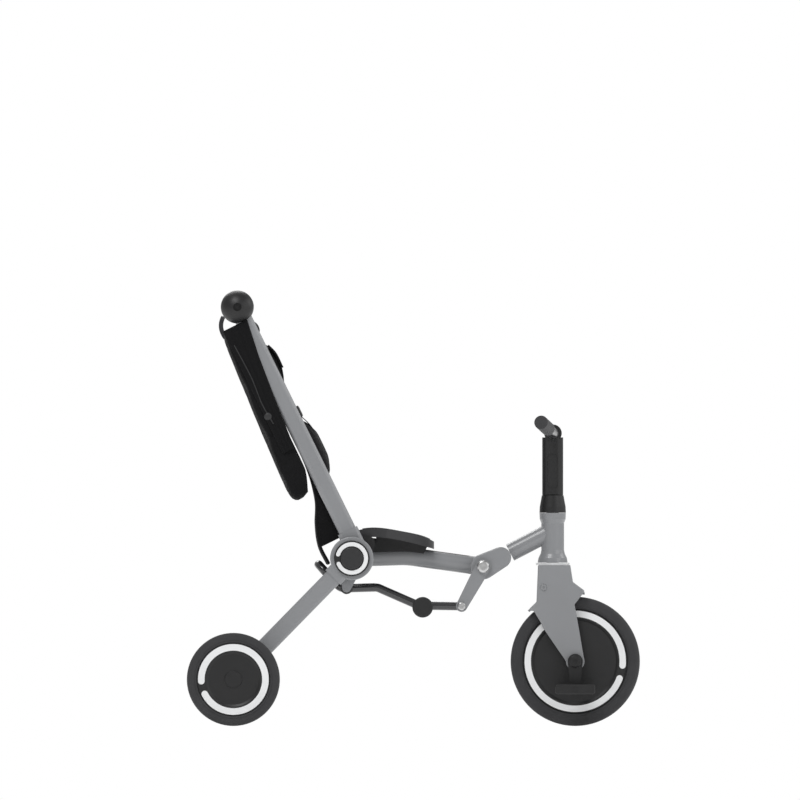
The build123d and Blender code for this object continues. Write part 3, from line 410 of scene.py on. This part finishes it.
def make_finishes(colors):
    """One material for each slot of the record."""
    return {
        "frame_paint": painted_tube("satin_grey_paint", colors.frame_grey),
        "black_tube": painted_tube("gloss_black_paint", colors.gloss_black, 0.2, 0.8),
        "black_plastic": moulded("black_moulding", colors.moulding_black, 0.46),
        "charcoal_plastic": moulded("charcoal_moulding", colors.charcoal, 0.5),
        "seat_shell": moulded("seat_shell_black", PAINTS["seat_shell"], 0.42),
        "seat_mat": moulded("seat_mat_gloss", PAINTS["seat_mat"], 0.3, 0.002, 0.00008, coat=0.3),
        "white_plastic": moulded("white_ring", colors.ring_white, 0.3, 0.0008, 0.00001, coat=0.3),
        "steel": bright_metal("zinc_steel", PAINTS["steel"]),
        "bush": moulded("bush_nylon", PAINTS["bush"], 0.45),
        "fabric": woven("black_polyester", colors.fabric_black),
        "webbing": webbing("black_webbing", PAINTS["webbing"]),
        "buckle": moulded("buckle_acetal", PAINTS["buckle"], 0.36),
        "grip": foam_rubber("grip_rubber", PAINTS["grip"], 0.74, 0.0012),
        "tyre": foam_rubber("tyre_foam", colors.tyre_grey),
    }


FINISHES = {}
OWN_FINISH = {"hub_plates": "black_plastic"}


# ---------------------------------------------------------------- sizes and colours a user would change
def length(name, text, default):
    return bpy.props.FloatProperty(name=name, description=text, default=default, min=0.0, unit="LENGTH", precision=4)


def colour(name, text, default):
    return bpy.props.FloatVectorProperty(name=name, description=text, default=default, size=3, subtype="COLOR",
                                         min=0.0, max=1.0)


class TricycleColours(bpy.types.PropertyGroup):
    frame_grey: colour("Frame", "Satin paint of the frame, fork and legs", (0.235, 0.240, 0.250))
    gloss_black: colour("Tie bar", "Gloss paint of the tie bar and cross tubes", PAINTS["black_tube"])
    moulding_black: colour("Mouldings", "Moulded plastic of caps, clamps and post", (0.007, 0.007, 0.0075))
    charcoal: colour("Buttons", "Moulded plastic of the hub buttons", (0.018, 0.018, 0.019))
    ring_white: colour("Rings", "White rings on the hub and wheels", PAINTS["white_plastic"])
    fabric_black: colour("Fabric", "Woven cloth of the backrest and bag", (0.0035, 0.0035, 0.004))
    tyre_grey: colour("Tyres", "Foam of the tyres", (0.030, 0.030, 0.032))


class BackrestSizes(bpy.types.PropertyGroup):
    sling_thickness: length("Sling thickness", "Thickness of the sling's cloth", 0.004)
    strap_width: length("Strap width", "Width of the shoulder webbing", 0.025)
    strap_thickness: length("Strap thickness", "Thickness of the webbing", 0.0018)
    piping_radius: length("Piping radius", "Radius of the sewn edge piping", 0.0028)
    cushion_swell: length("Cushion swell", "How far a cushion's cover may swell", 0.007)
    pleat_depth: length("Pleat depth", "Depth of the bag's gathers", 0.004)
    cord_radius: length("Cord radius", "Radius of the bag's draw cord", 0.0012)


class FittingSizes(bpy.types.PropertyGroup):
    strip_width: length("Strip width", "Width of the guard strip on the spine", 0.015)
    spring_wire: length("Spring wire", "Radius of the foot peg springs' wire", 0.0009)


class StudioSettings(bpy.types.PropertyGroup):
    camera_distance: length("Camera distance", "From the middle of the object to the camera", 9.0)
    view_width: length("View width", "Width that the camera sees", 1.5468)
    view_left: length("View left", "How far the camera stands behind the object's middle", 0.0258)
    view_height: length("View height", "Height of the camera above the floor", 0.6303)
    floor_size: length("Floor size", "Width of the floor", 60.0)
    ambient: bpy.props.FloatProperty(name="Ambient", description="Strength of the even light", default=0.42, min=0.0)


# ---------------------------------------------------------------- pieces
SLING = ((-0.044, 0.012), (-0.044, 0.050), (-0.031, 0.090), (-0.010, 0.135), (0.002, 0.200), (0.004, 0.300),
         (0.004, 0.400), (0.004, 0.488))
SLING_HALF = 0.122
SLING_DIP = 0.0022
LUMBAR = dict(low=0.148, high=0.296, half=0.092, front=((0.010, 0.148), (0.036, 0.166), (0.043, 0.200), (0.043, 0.250),
                                                         (0.036, 0.280), (0.010, 0.296)))
HEADREST = dict(low=0.350, high=0.455, half=0.082, front=((0.010, 0.350), (0.033, 0.366), (0.040, 0.390),
                                                          (0.040, 0.420), (0.033, 0.440), (0.010, 0.455)))
CROWN = dict(low=0.459, high=0.506, half=0.070, front=((0.010, 0.459), (0.030, 0.466), (0.038, 0.482), (0.030, 0.499),
                                                       (0.010, 0.506)))
PAD_BACK_GAP = 0.0050
PAD_SHRINK_LENGTH = 0.14
CHANNEL_WIDTH = 0.003
CHANNEL_DEPTH = 0.0045
STRAP_Y = 0.0505
STRAP = ((0.0120, 0.457), (0.0345, 0.441), (0.0408, 0.420), (0.0408, 0.390), (0.0310, 0.360), (0.0200, 0.330),
         (0.0290, 0.300), (0.0425, 0.262), (0.0440, 0.205))
SHOULDER_PAD_WIDTH = 0.040
SHOULDER_PAD_THICKNESS = 0.0058
CLIP_UP = 0.300
CLIP_FORWARD = 0.0350
ACROSS = np.array((0.0, 1.0, 0.0))
BAG_HALF = 0.1495
FLAP_BACK = -0.030


def sling_front(s):
    """How far forward the sling's middle surface is at s, along its smooth line."""
    line = smooth_line(SLING, 200)
    return np.interp(s, line[:, 1], line[:, 0])


class TRICYCLE_OT_sling(bpy.types.Operator):
    """The sling between the uprights: a sheet with a shallow hollow, wavy creases at its foot, and piped edges"""
    bl_idname = "tricycle.sling"
    bl_label = "Sling"

    def execute(self, context):
        sizes = context.scene.backrest_sizes
        line = smooth_line(SLING, 120)
        y = np.linspace(-SLING_HALF, SLING_HALF, 81)
        share = y / SLING_HALF
        hollow = -SLING_DIP * (1 - share ** 2)
        points = leaning(line[:, :1] + hollow, line[:, 1:], y)
        low = np.clip(1 - (line[:, 1:] - 0.02) / 0.12, 0, 1) ** 1.3
        crease = 0.0011 * np.sin(share * 23 + 5 * line[:, 1:] / 0.1) * low * (1 - share ** 2)
        points = points + (crease + 0.0004 * bump_noise(points, 70, 3))[..., None] * AHEAD
        uv = np.stack(np.broadcast_arrays(y[None, :], line[:, 1:]), axis=-1)
        made = piece("back_sling_cloth", grid_mesh("back_sling_cloth", points, uv=uv), "backrest", "fabric")
        thick = made.modifiers.new("thickness", "SOLIDIFY")
        thick.thickness, thick.offset = sizes.sling_thickness, 0.0
        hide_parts("back_sling")
        edges = []
        for name, sign in (("left", 1), ("right", -1)):
            edge = leaning(line[:, 0], line[:, 1], np.full(len(line), sign * SLING_HALF))
            edges.append(piece(f"sling_piping_{name}", tube_mesh("piping", edge, sizes.piping_radius, 10),
                               "backrest", "fabric"))
        for name, s in (("foot", SLING[0][1]), ("head", SLING[-1][1])):
            rail_y = np.linspace(-SLING_HALF, SLING_HALF, 60)
            rail = leaning(sling_front(s) - SLING_DIP * (1 - (rail_y / SLING_HALF) ** 2), s, rail_y)
            edges.append(piece(f"sling_hem_{name}", tube_mesh("hem", rail, sizes.piping_radius, 10, up=(0, 0, 1)),
                               "backrest", "fabric"))
        edges += [self.wing(name, sign) for name, sign in (("left", 1), ("right", -1))]
        return {"FINISHED"}

    def wing(self, name, sign):
        """The side panel that closes the gap between the sling's edge and the upright: each row runs from the
        sling's edge to the tube's inner side, with shallow slanting creases."""
        s = np.linspace(0.046, 0.215, 70)[:, None]
        share = np.linspace(0, 1, 26)[None, :]
        edge = sling_front(s)
        o = edge + share * np.maximum(-0.0008 - edge, 0.0004)
        crease = 0.0009 * np.sin(s * 190 + share * 5) * np.sin(np.pi * share)
        y = sign * (SLING_HALF + 0.0013 + crease * np.clip((s - 0.05) / 0.02, 0, 1))
        points = leaning(o, s, y)
        uv = np.stack(np.broadcast_arrays(o, s), axis=-1)
        made = piece(f"sling_wing_{name}", grid_mesh("sling_wing", points, uv=uv), "backrest", "fabric")
        thick = made.modifiers.new("thickness", "SOLIDIFY")
        thick.thickness, thick.offset = 0.0014, 0.0
        return made


def pad_mesh(name, pad, swell):
    """A cushion's starting shape: its side profile closed against the sling, narrowed a little towards its ends and
    sides, so that the cloth simulation can swell it. The section at each share of the width w shrinks by
    (1 - w^6)^(1/3), which rounds its ends."""
    front = smooth_line(pad["front"], 40)
    back_s = np.linspace(pad["high"], pad["low"], 40)
    back = np.column_stack((sling_front(back_s) + PAD_BACK_GAP, back_s))
    outline = np.vstack((front, back[1:-1]))
    middle = outline.mean(axis=0)
    outline = middle + (outline - middle) * (1 - swell / PAD_SHRINK_LENGTH)
    across = np.sin(np.linspace(-np.pi / 2, np.pi / 2, 49))
    shrink = np.maximum(1 - np.abs(across) ** 6, 0.02) ** (1 / 3)
    section = middle + (outline - middle)[None] * shrink[:, None, None]
    grid = leaning(section[..., 0], section[..., 1], (across * (pad["half"] - swell))[:, None])
    return outward(grid_mesh(name, grid, around=True, caps=True))


def swell_cloth(obj, swell, pull):
    """Remeshes a closed cushion, swells it as cloth under pressure for 20 frames, limits how far a point moved,
    pulls the sewn channels in, and leaves a plain subdivided mesh."""
    remesh = obj.modifiers.new("even", "REMESH")
    remesh.mode, remesh.voxel_size = "VOXEL", 0.0045
    context = bpy.context
    graph = context.evaluated_depsgraph_get()
    even = bpy.data.meshes.new_from_object(obj.evaluated_get(graph))
    obj.modifiers.clear()
    obj.data = even
    count = len(even.vertices)
    start = np.empty(count * 3)
    even.vertices.foreach_get("co", start)
    start = start.reshape(-1, 3)
    moved = start
    cloth = obj.modifiers.new("cloth", "CLOTH")
    cloth.settings.use_pressure = True
    cloth.settings.uniform_pressure_force = 4.0
    cloth.settings.effector_weights.gravity = 0.0
    cloth.settings.quality = 5
    cloth.point_cache.frame_start, cloth.point_cache.frame_end = 1, 20
    for step in range(1, 21):
        context.scene.frame_set(step)
    graph = context.evaluated_depsgraph_get()
    result = obj.evaluated_get(graph).to_mesh()
    moved = np.empty(count * 3)
    result.vertices.foreach_get("co", moved)
    moved = moved.reshape(-1, 3)
    obj.evaluated_get(graph).to_mesh_clear()
    obj.modifiers.clear()
    context.scene.frame_set(1)
    shift = moved - start
    size = np.linalg.norm(shift, axis=1, keepdims=True)
    shift *= np.minimum(1.0, swell / np.maximum(size, 1e-9))
    shape = pull(start + shift)
    even.vertices.foreach_set("co", shape.ravel())
    even.polygons.foreach_set("use_smooth", np.ones(len(even.polygons), bool))
    even.update()
    finer = obj.modifiers.new("smooth", "SUBSURF")
    finer.levels = finer.render_levels = 1


def sewn_channels(pad, channels, depth):
    """Returns the vertex move that sinks sewn channels at given y into a cushion's front, and keeps its back off the
    sling: depth * exp(-((y - c) / 3 mm)^2), growing from the back to the crown."""
    def pull(points):
        relative = points - HUB
        o, s, y = relative @ AHEAD, relative @ ALONG, points[:, 1]
        floor = sling_front(s) + 0.0032
        rise = np.clip((o - floor) / 0.02, 0, 1)
        sink = sum((np.exp(-((y - c) / CHANNEL_WIDTH) ** 2) for c in channels), np.zeros(len(points)))
        ends = np.clip(np.minimum(s - pad["low"], pad["high"] - s) / 0.02, 0, 1)
        o_new = np.maximum(o - depth * sink * rise * ends, floor)
        return points + (o_new - o)[:, None] * AHEAD
    return pull


class TRICYCLE_OT_cushions(bpy.types.Operator):
    """The lumbar cushion, the headrest and the crown pad, swelled as cloth, with sewn channels in the first two"""
    bl_idname = "tricycle.cushions"
    bl_label = "Cushions"

    def execute(self, context):
        sizes = context.scene.backrest_sizes
        for name, pad, channels in (("lumbar_cushion", LUMBAR, (-0.030, 0.030)), ("headrest_cushion", HEADREST, (0.0,)),
                                    ("crown_cushion", CROWN, ())):
            cushion = piece(name, pad_mesh(name, pad, sizes.cushion_swell), "backrest", "fabric")
            swell_cloth(cushion, sizes.cushion_swell, sewn_channels(pad, channels, CHANNEL_DEPTH))
            cushion.data.materials.clear()
            cushion.data.materials.append(FINISHES["mesh_cloth"])
        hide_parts("back_pads")
        return {"FINISHED"}


class TRICYCLE_OT_harness(bpy.types.Operator):
    """Two shoulder straps over the cushions and their shoulder pads"""
    bl_idname = "tricycle.harness"
    bl_label = "Harness"

    def execute(self, context):
        sizes = context.scene.backrest_sizes
        path = smooth_line(STRAP, 110)
        first = None
        for name, sign in (("left", 1), ("right", -1)):
            line = leaning(path[:, 0], path[:, 1], sign * STRAP_Y + 0.001 * np.sin(path[:, 1] * 60))
            band = ribbon_mesh("strap", line, ACROSS, sizes.strap_width, sizes.strap_thickness)
            strap = piece(f"shoulder_strap_{name}", band, "backrest", "webbing")
            first = first or strap
            part = smooth_line(STRAP[1:4], 60)
            ride = leaning(part[:, 0] + 0.0012, part[:, 1], np.full(len(part), sign * STRAP_Y))
            sleeve = ribbon_mesh("shoulder_pad", ride, ACROSS, SHOULDER_PAD_WIDTH, SHOULDER_PAD_THICKNESS, edge=0.55)
            piece(f"shoulder_pad_{name}", sleeve, "backrest", "fabric")
        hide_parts("harness_straps")
        return {"FINISHED"}


def slab_loft(middle_o, s, y, thickness, edge):
    """A rounded slab over a grid of s and y: thickness falls to the edges as (1 - |share|^edge)."""
    share_s = np.linspace(-1, 1, len(s))[:, None]
    share_y = np.linspace(-1, 1, len(y))[None, :]
    fall = (np.maximum(1 - np.abs(share_s) ** edge, 0) * np.maximum(1 - np.abs(share_y) ** edge, 0)) ** 0.4
    front = leaning(middle_o + thickness / 2 * fall, s[:, None], y[None, :])
    back = leaning(middle_o - thickness / 2 * fall, s[:, None], y[None, :])
    return front, back


class TRICYCLE_OT_buckles(bpy.types.Operator):
    """The chest clip: two shaped side halves and a squeeze tongue between them"""
    bl_idname = "tricycle.buckles"
    bl_label = "Buckles"

    def execute(self, context):
        first = None
        for name, low, high, tall, thick in (("clip_left", 0.010, 0.066, 0.024, 0.0058),
                                             ("clip_right", -0.066, -0.010, 0.024, 0.0058),
                                             ("clip_tongue", -0.013, 0.013, 0.018, 0.0046)):
            s, y = CLIP_UP + np.linspace(-tall / 2, tall / 2, 25), np.linspace(low, high, 45)
            waist = 1 - 0.25 * np.exp(-((y - (low + high) / 2) / 0.009) ** 2)
            front, back = slab_loft(CLIP_FORWARD, s, y, thick, 6)
            squeeze = (s - CLIP_UP)[:, None] * (waist - 1)[None, :]
            front, back = front + squeeze[..., None] * ALONG, back + squeeze[..., None] * ALONG
            grid = np.concatenate((front, back[:, ::-1]), axis=1)
            made = piece(f"chest_{name}", outward(grid_mesh(name, grid, around=True, caps=True)), "backrest", "buckle")
            first = first or made
        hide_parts("chest_clip")
        return {"FINISHED"}


def bag_outline():
    """The bag's closed side profile in (o, s): flat back, rounded foot, and a front that follows the sling."""
    back = smooth_line(((-0.016, 0.5040), (-0.034, 0.490), (-0.041, 0.420), (-0.049, 0.300), (-0.0545, 0.190),
                        (-0.0535, 0.160), (-0.045, 0.1475), (-0.032, 0.1475)), 70)
    front = smooth_line(((-0.0190, 0.153), (-0.0070, 0.185), (-0.0038, 0.215), (-0.0032, 0.350), (-0.0032, 0.440),
                         (-0.0040, 0.500)), 50)
    return np.vstack((back, front))


class TRICYCLE_OT_bag(bpy.types.Operator):
    """The stowed canopy's pouch: a gathered shell lofted from side to side, with side flaps, cords and snaps"""
    bl_idname = "tricycle.bag"
    bl_label = "Rear bag"

    def execute(self, context):
        sizes = context.scene.backrest_sizes
        outline = bag_outline()
        middle = outline.mean(axis=0)
        share = np.sin(np.linspace(-np.pi / 2, np.pi / 2, 121))
        shrink = np.maximum(1 - np.abs(share) ** 14, 0.0004) ** (1 / 5)
        section = middle + (outline - middle)[None] * shrink[:, None, None]
        y = share * BAG_HALF
        s = section[..., 1]
        back_side = np.clip((middle[0] + 0.004 - section[..., 0]) / 0.02, 0, 1)
        gathers = np.abs(np.sin(y * 125))[:, None] ** 0.7 * np.clip((s - 0.17) / 0.08, 0, 1)
        folds = 0.5 + 0.5 * np.sin((s - 0.14) * 62 + 1.7 * np.sin(y * 17)[:, None])
        inward = sizes.pleat_depth * (0.45 * gathers + 0.75 * folds ** 3) * back_side
        points = leaning(section[..., 0] + inward, s, y[:, None])
        side = (np.abs(share) ** 8)[:, None] * np.sin(s * 75 + section[..., 0] * 60)
        points[..., 1] -= np.sign(y)[:, None] * 0.0012 * np.abs(side)
        points += (0.0007 * bump_noise(points, 55, 11))[..., None] * AHEAD * back_side[..., None]
        arc = np.concatenate(([0.0], np.cumsum(np.linalg.norm(np.diff(outline, axis=0), axis=1))))
        uv = np.stack(np.broadcast_arrays(arc[None, :], y[:, None]), axis=-1)
        mesh = grid_mesh("canopy_pouch", points, around=True, caps=True, uv=uv)
        made = piece("canopy_pouch", outward(mesh), "backrest", "fabric")
        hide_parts("rear_bag")
        for name, sign in (("left", 1), ("right", -1)):
            self.sleeve(name, sign)
            self.cord(name, sign, sizes.cord_radius)
        return {"FINISHED"}

    def sleeve(self, name, sign):
        """The pouch's side flap that wraps over the upright's outside: a sheet from the pouch's side forward, its
        front edge running slantwise down the tube, its height over the tube following the tube's round."""
        s = np.linspace(0.240, 0.504, 90)
        front = np.interp(s, (0.240, 0.300, 0.358, 0.431, 0.506), (-0.0060, -0.0015, 0.0035, 0.0105, 0.0215))
        share = np.linspace(0, 1, 24)
        o = FLAP_BACK + share[None, :] * (front - FLAP_BACK)[:, None]
        pleats = np.abs(np.sin(np.pi * 3.5 * share))[None, :] ** 0.6
        ripple = 0.00035 * np.sin(s * 160)[:, None] * (1 - share)[None, :] + 0.0016 * pleats
        y = sign * (BAG_HALF + 0.0006 + ripple - 0.0006 * share[None, :] ** 4)
        points = leaning(o, s[:, None], y)
        uv = np.stack(np.broadcast_arrays(o, s[:, None]), axis=-1)
        made = piece(f"pouch_flap_{name}", grid_mesh("flap", points, uv=uv), "backrest", "fabric")
        thick = made.modifiers.new("thickness", "SOLIDIFY")
        thick.thickness, thick.offset = 0.0012, 0.0
        edge = leaning(front, s, np.full(len(s), sign * (BAG_HALF + 0.0006)))
        hem = piece(f"pouch_flap_hem_{name}", tube_mesh("hem", edge, 0.0011, 8), "backrest", "fabric")

    def cord(self, name, sign, radius):
        """The draw cord down the pouch's side, and the round snap on it."""
        path = smooth_line(((-0.022, 0.470), (-0.020, 0.400), (-0.024, 0.345), (-0.021, 0.300)), 60)
        line = leaning(path[:, 0], path[:, 1], sign * np.full(60, BAG_HALF + 0.0020))
        piece(f"pouch_cord_{name}", tube_mesh("cord", line, radius, 8), "backrest", "charcoal_plastic")
        angle = np.linspace(0, 2 * np.pi, 40, endpoint=False)
        profile = np.array(((0.0, 0.0045), (0.004, 0.0044), (0.0064, 0.0034), (0.0078, 0.0018), (0.0080, 0.0)))
        centre = np.array((-0.024, 0.318))
        radial = profile[:, 0][:, None]
        grid = leaning(centre[0] + radial * np.cos(angle), centre[1] + radial * np.sin(angle),
                       sign * (BAG_HALF + profile[:, 1][:, None]))
        piece(f"pouch_snap_{name}", outward(grid_mesh("snap", grid, around=True, caps=True)), "backrest",
              "charcoal_plastic")


class TRICYCLE_OT_loop(bpy.types.Operator):
    """The webbing loop that lifts the folded tricycle: a flat band in an arch that bulges rearwards"""
    bl_idname = "tricycle.loop"
    bl_label = "Carry loop"

    def execute(self, context):
        low, high = (np.array(corner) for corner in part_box("carry_loop"))
        half = (high[1] - low[1]) / 2 - 0.0015
        foot = np.array((high[0] - 0.0045, low[2] + 0.002))
        top = np.array((high[0] - 0.0090, high[2] - 0.0015))
        path = smooth_line(((-half, 0.0), (-half * 0.90, 0.50), (-half * 0.60, 0.90), (0.0, 1.0), (half * 0.60, 0.90),
                            (half * 0.90, 0.50), (half, 0.0)), 110)
        bulge = np.sin(np.pi * path[:, 1]) ** 0.8 * (top[0] - low[0] - 0.0035)
        line = np.column_stack((foot[0] + (top[0] - foot[0]) * path[:, 1] - bulge, path[:, 0],
                                foot[1] + (top[1] - foot[1]) * path[:, 1]))
        turn = np.cos(np.pi * path[:, 1])[:, None] * 0.6
        across = np.array((top[1] - foot[1], 0.0, foot[0] - top[0])) / (top[1] - foot[1])
        across = across * 0.8 + turn * np.array((0.0, 0.0, 1.0)) * 0.5
        made = piece("carry_band", outward(ribbon_mesh("carry_band", line, across, 0.0086, 0.0026)), "backrest",
                     "webbing")
        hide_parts("carry_loop")
        return {"FINISHED"}


class TRICYCLE_OT_fittings(bpy.types.Operator):
    """Small fittings: the guard strip on the spine and the wire springs round the foot pegs' hinge pins"""
    bl_idname = "tricycle.fittings"
    bl_label = "Fittings"

    def execute(self, context):
        sizes = context.scene.fitting_sizes
        low, high = (np.array(corner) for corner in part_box("spine_tube"))
        radius = (high[1] - low[1]) / 2
        self.strip(sizes, radius)
        for name in ("left", "right"):
            pin = np.array(JOINTS[f"foot_peg_{name}_fold"]["pos_m"])
            turns = np.linspace(0, 2 * np.pi * 5, 200)
            for level, offset in (("upper", 0.0150), ("lower", -0.0175)):
                line = np.column_stack((pin[0] + 0.0056 * np.cos(turns), pin[1] + 0.0056 * np.sin(turns),
                                        pin[2] + offset + turns / turns[-1] * 0.0025))
                self.spring(f"peg_spring_{name}_{level}", line, sizes.spring_wire)
        return {"FINISHED"}

    def spring(self, name, line, wire):
        piece(name, tube_mesh(name, line, wire, 8, up=(0, 0, 1)), "tie_linkage", "steel")

    def strip(self, sizes, radius):
        """A strip over the top of the spine's straight front: an arc of the tube's section plus its own
        thickness, from the seat bracket to the front knuckle."""
        along = np.linspace(0, STRIP_LENGTH, 40)
        rise = HINGE[2] + radius + (STRIP_START - along) * SPINE_SLOPE
        half = np.linspace(-1, 1, 13) * sizes.strip_width / 2 / radius
        taper = np.minimum(1, (np.minimum(along, along[-1] - along) / 0.004 + 0.05)) ** 0.5
        angle = half[None, :] * taper[:, None]
        reach = radius + 0.0002
        points = np.stack(np.broadcast_arrays((HINGE[0] - STRIP_START + along)[:, None], reach * np.sin(angle),
                                              (rise - radius)[:, None] + reach * np.cos(angle)), axis=-1)
        made = piece("spine_strip", grid_mesh("spine_strip", points), "main_frame", "black_plastic")
        thick = made.modifiers.new("thickness", "SOLIDIFY")
        thick.thickness, thick.offset = 0.0016, 1.0


class TRICYCLE_OT_finishes(bpy.types.Operator):
    """Gives every frame node the finish of its slot, or its own where OWN_FINISH names one"""
    bl_idname = "tricycle.finishes"
    bl_label = "Finishes"

    def execute(self, context):
        colors = context.scene.tricycle_colours
        FINISHES.update(make_finishes(colors))
        FINISHES["mesh_cloth"] = solid_woven("black_mesh_cloth", colors.fabric_black)
        for name, node in NODES.items():
            node.data.materials.clear()
            node.data.materials.append(FINISHES[OWN_FINISH.get(name, SLOTS[name])])
        return {"FINISHED"}


LAMPS = (("key", (-1.2, -2.2, 3.4), 60, 1.6), ("fill", (2.8, -2.2, 1.8), 22, 2.2),
         ("rim", (-0.6, 2.6, 2.6), 40, 2.0), ("front", (3.0, 0.6, 2.0), 18, 1.6))
LAMP_AIM = np.array((0.0, 0.0, 0.4))


class TRICYCLE_OT_studio(bpy.types.Operator):
    """A plain pale floor, soft lights and a camera that looks squarely at the side"""
    bl_idname = "tricycle.studio"
    bl_label = "Studio"

    def execute(self, context):
        studio = context.scene.studio_settings
        half = studio.floor_size / 2
        corners = np.array([[(-half, -half, 0.0), (half, -half, 0.0)], [(-half, half, 0.0), (half, half, 0.0)]])
        floor = bpy.data.objects.new("floor", grid_mesh("floor", corners))
        context.scene.collection.objects.link(floor)
        paper = Finish("floor_paper")
        paper.feed(Base_Color=paper.blend(paper.noise(paper.place(), 3.0), (0.90, 0.90, 0.90), (0.92, 0.92, 0.92)),
                   Roughness=0.9, Emission_Color=(1.0, 1.0, 1.0, 1.0), Emission_Strength=0.3)
        floor.data.materials.append(paper.material)
        world = bpy.data.worlds.new("studio")
        world.use_nodes = True
        tree = world.node_tree
        background = tree.nodes["Background"]
        background.inputs["Color"].default_value = (1.0, 1.0, 1.0, 1.0)
        path = tree.nodes.new("ShaderNodeLightPath")
        strength = tree.nodes.new("ShaderNodeMapRange")
        strength.inputs["To Min"].default_value, strength.inputs["To Max"].default_value = studio.ambient, 1.0
        tree.links.new(path.outputs["Is Camera Ray"], strength.inputs["Value"])
        tree.links.new(strength.outputs["Result"], background.inputs["Strength"])
        context.scene.world = world
        context.scene.view_settings.view_transform = "Standard"
        for name, place, power, size in LAMPS:
            lamp = bpy.data.lights.new(name, "AREA")
            lamp.energy, lamp.size = power, size
            holder = bpy.data.objects.new(name, lamp)
            holder.location = place
            aim = LAMP_AIM - np.array(place)
            holder.rotation_euler = (math.atan2(math.hypot(aim[0], aim[1]), -aim[2]), 0.0,
                                     math.atan2(aim[0], -aim[1]) + math.pi)
            context.scene.collection.objects.link(holder)
        lens = bpy.data.cameras.new("camera")
        lens.type = "ORTHO"
        lens.ortho_scale = studio.view_width
        lens.clip_end = 200.0
        camera = bpy.data.objects.new("camera", lens)
        middle = (CAD_BOX[0][0] + CAD_BOX[1][0]) / 2
        camera.location = (middle - studio.view_left, -studio.camera_distance, studio.view_height)
        camera.rotation_euler = (math.pi / 2, 0.0, 0.0)
        context.scene.collection.objects.link(camera)
        context.scene.camera = camera
        return {"FINISHED"}


class TRICYCLE_PT_builder(bpy.types.Panel):
    """Lists the operators that build the tricycle, with their sizes and colours"""
    bl_label = "Tricycle"
    bl_space_type = "VIEW_3D"
    bl_region_type = "UI"
    bl_category = "Tricycle"

    def draw(self, context):
        for group in GROUPS:
            box = self.layout.box()
            settings = getattr(context.scene, group)
            for name in settings.__annotations__:
                box.prop(settings, name)
        for operator in OPERATORS:
            self.layout.operator(operator.bl_idname)


GROUPS = {"tricycle_colours": TricycleColours, "backrest_sizes": BackrestSizes, "fitting_sizes": FittingSizes,
          "studio_settings": StudioSettings}
OPERATORS = (TRICYCLE_OT_finishes, TRICYCLE_OT_sling, TRICYCLE_OT_cushions, TRICYCLE_OT_harness,
             TRICYCLE_OT_buckles, TRICYCLE_OT_bag, TRICYCLE_OT_loop, TRICYCLE_OT_fittings, TRICYCLE_OT_studio)
CLASSES = (*GROUPS.values(), *OPERATORS, TRICYCLE_PT_builder)


def register():
    for entry in CLASSES:
        bpy.utils.register_class(entry)
    for name, group in GROUPS.items():
        setattr(bpy.types.Scene, name, bpy.props.PointerProperty(type=group))


def unregister():
    for name in GROUPS:
        delattr(bpy.types.Scene, name)
    for entry in reversed(CLASSES):
        bpy.utils.unregister_class(entry)


def main():
    register()
    for operator in OPERATORS:
        family, name = operator.bl_idname.split(".")
        getattr(getattr(bpy.ops, family), name)()


if __name__ == "__main__":
    main()
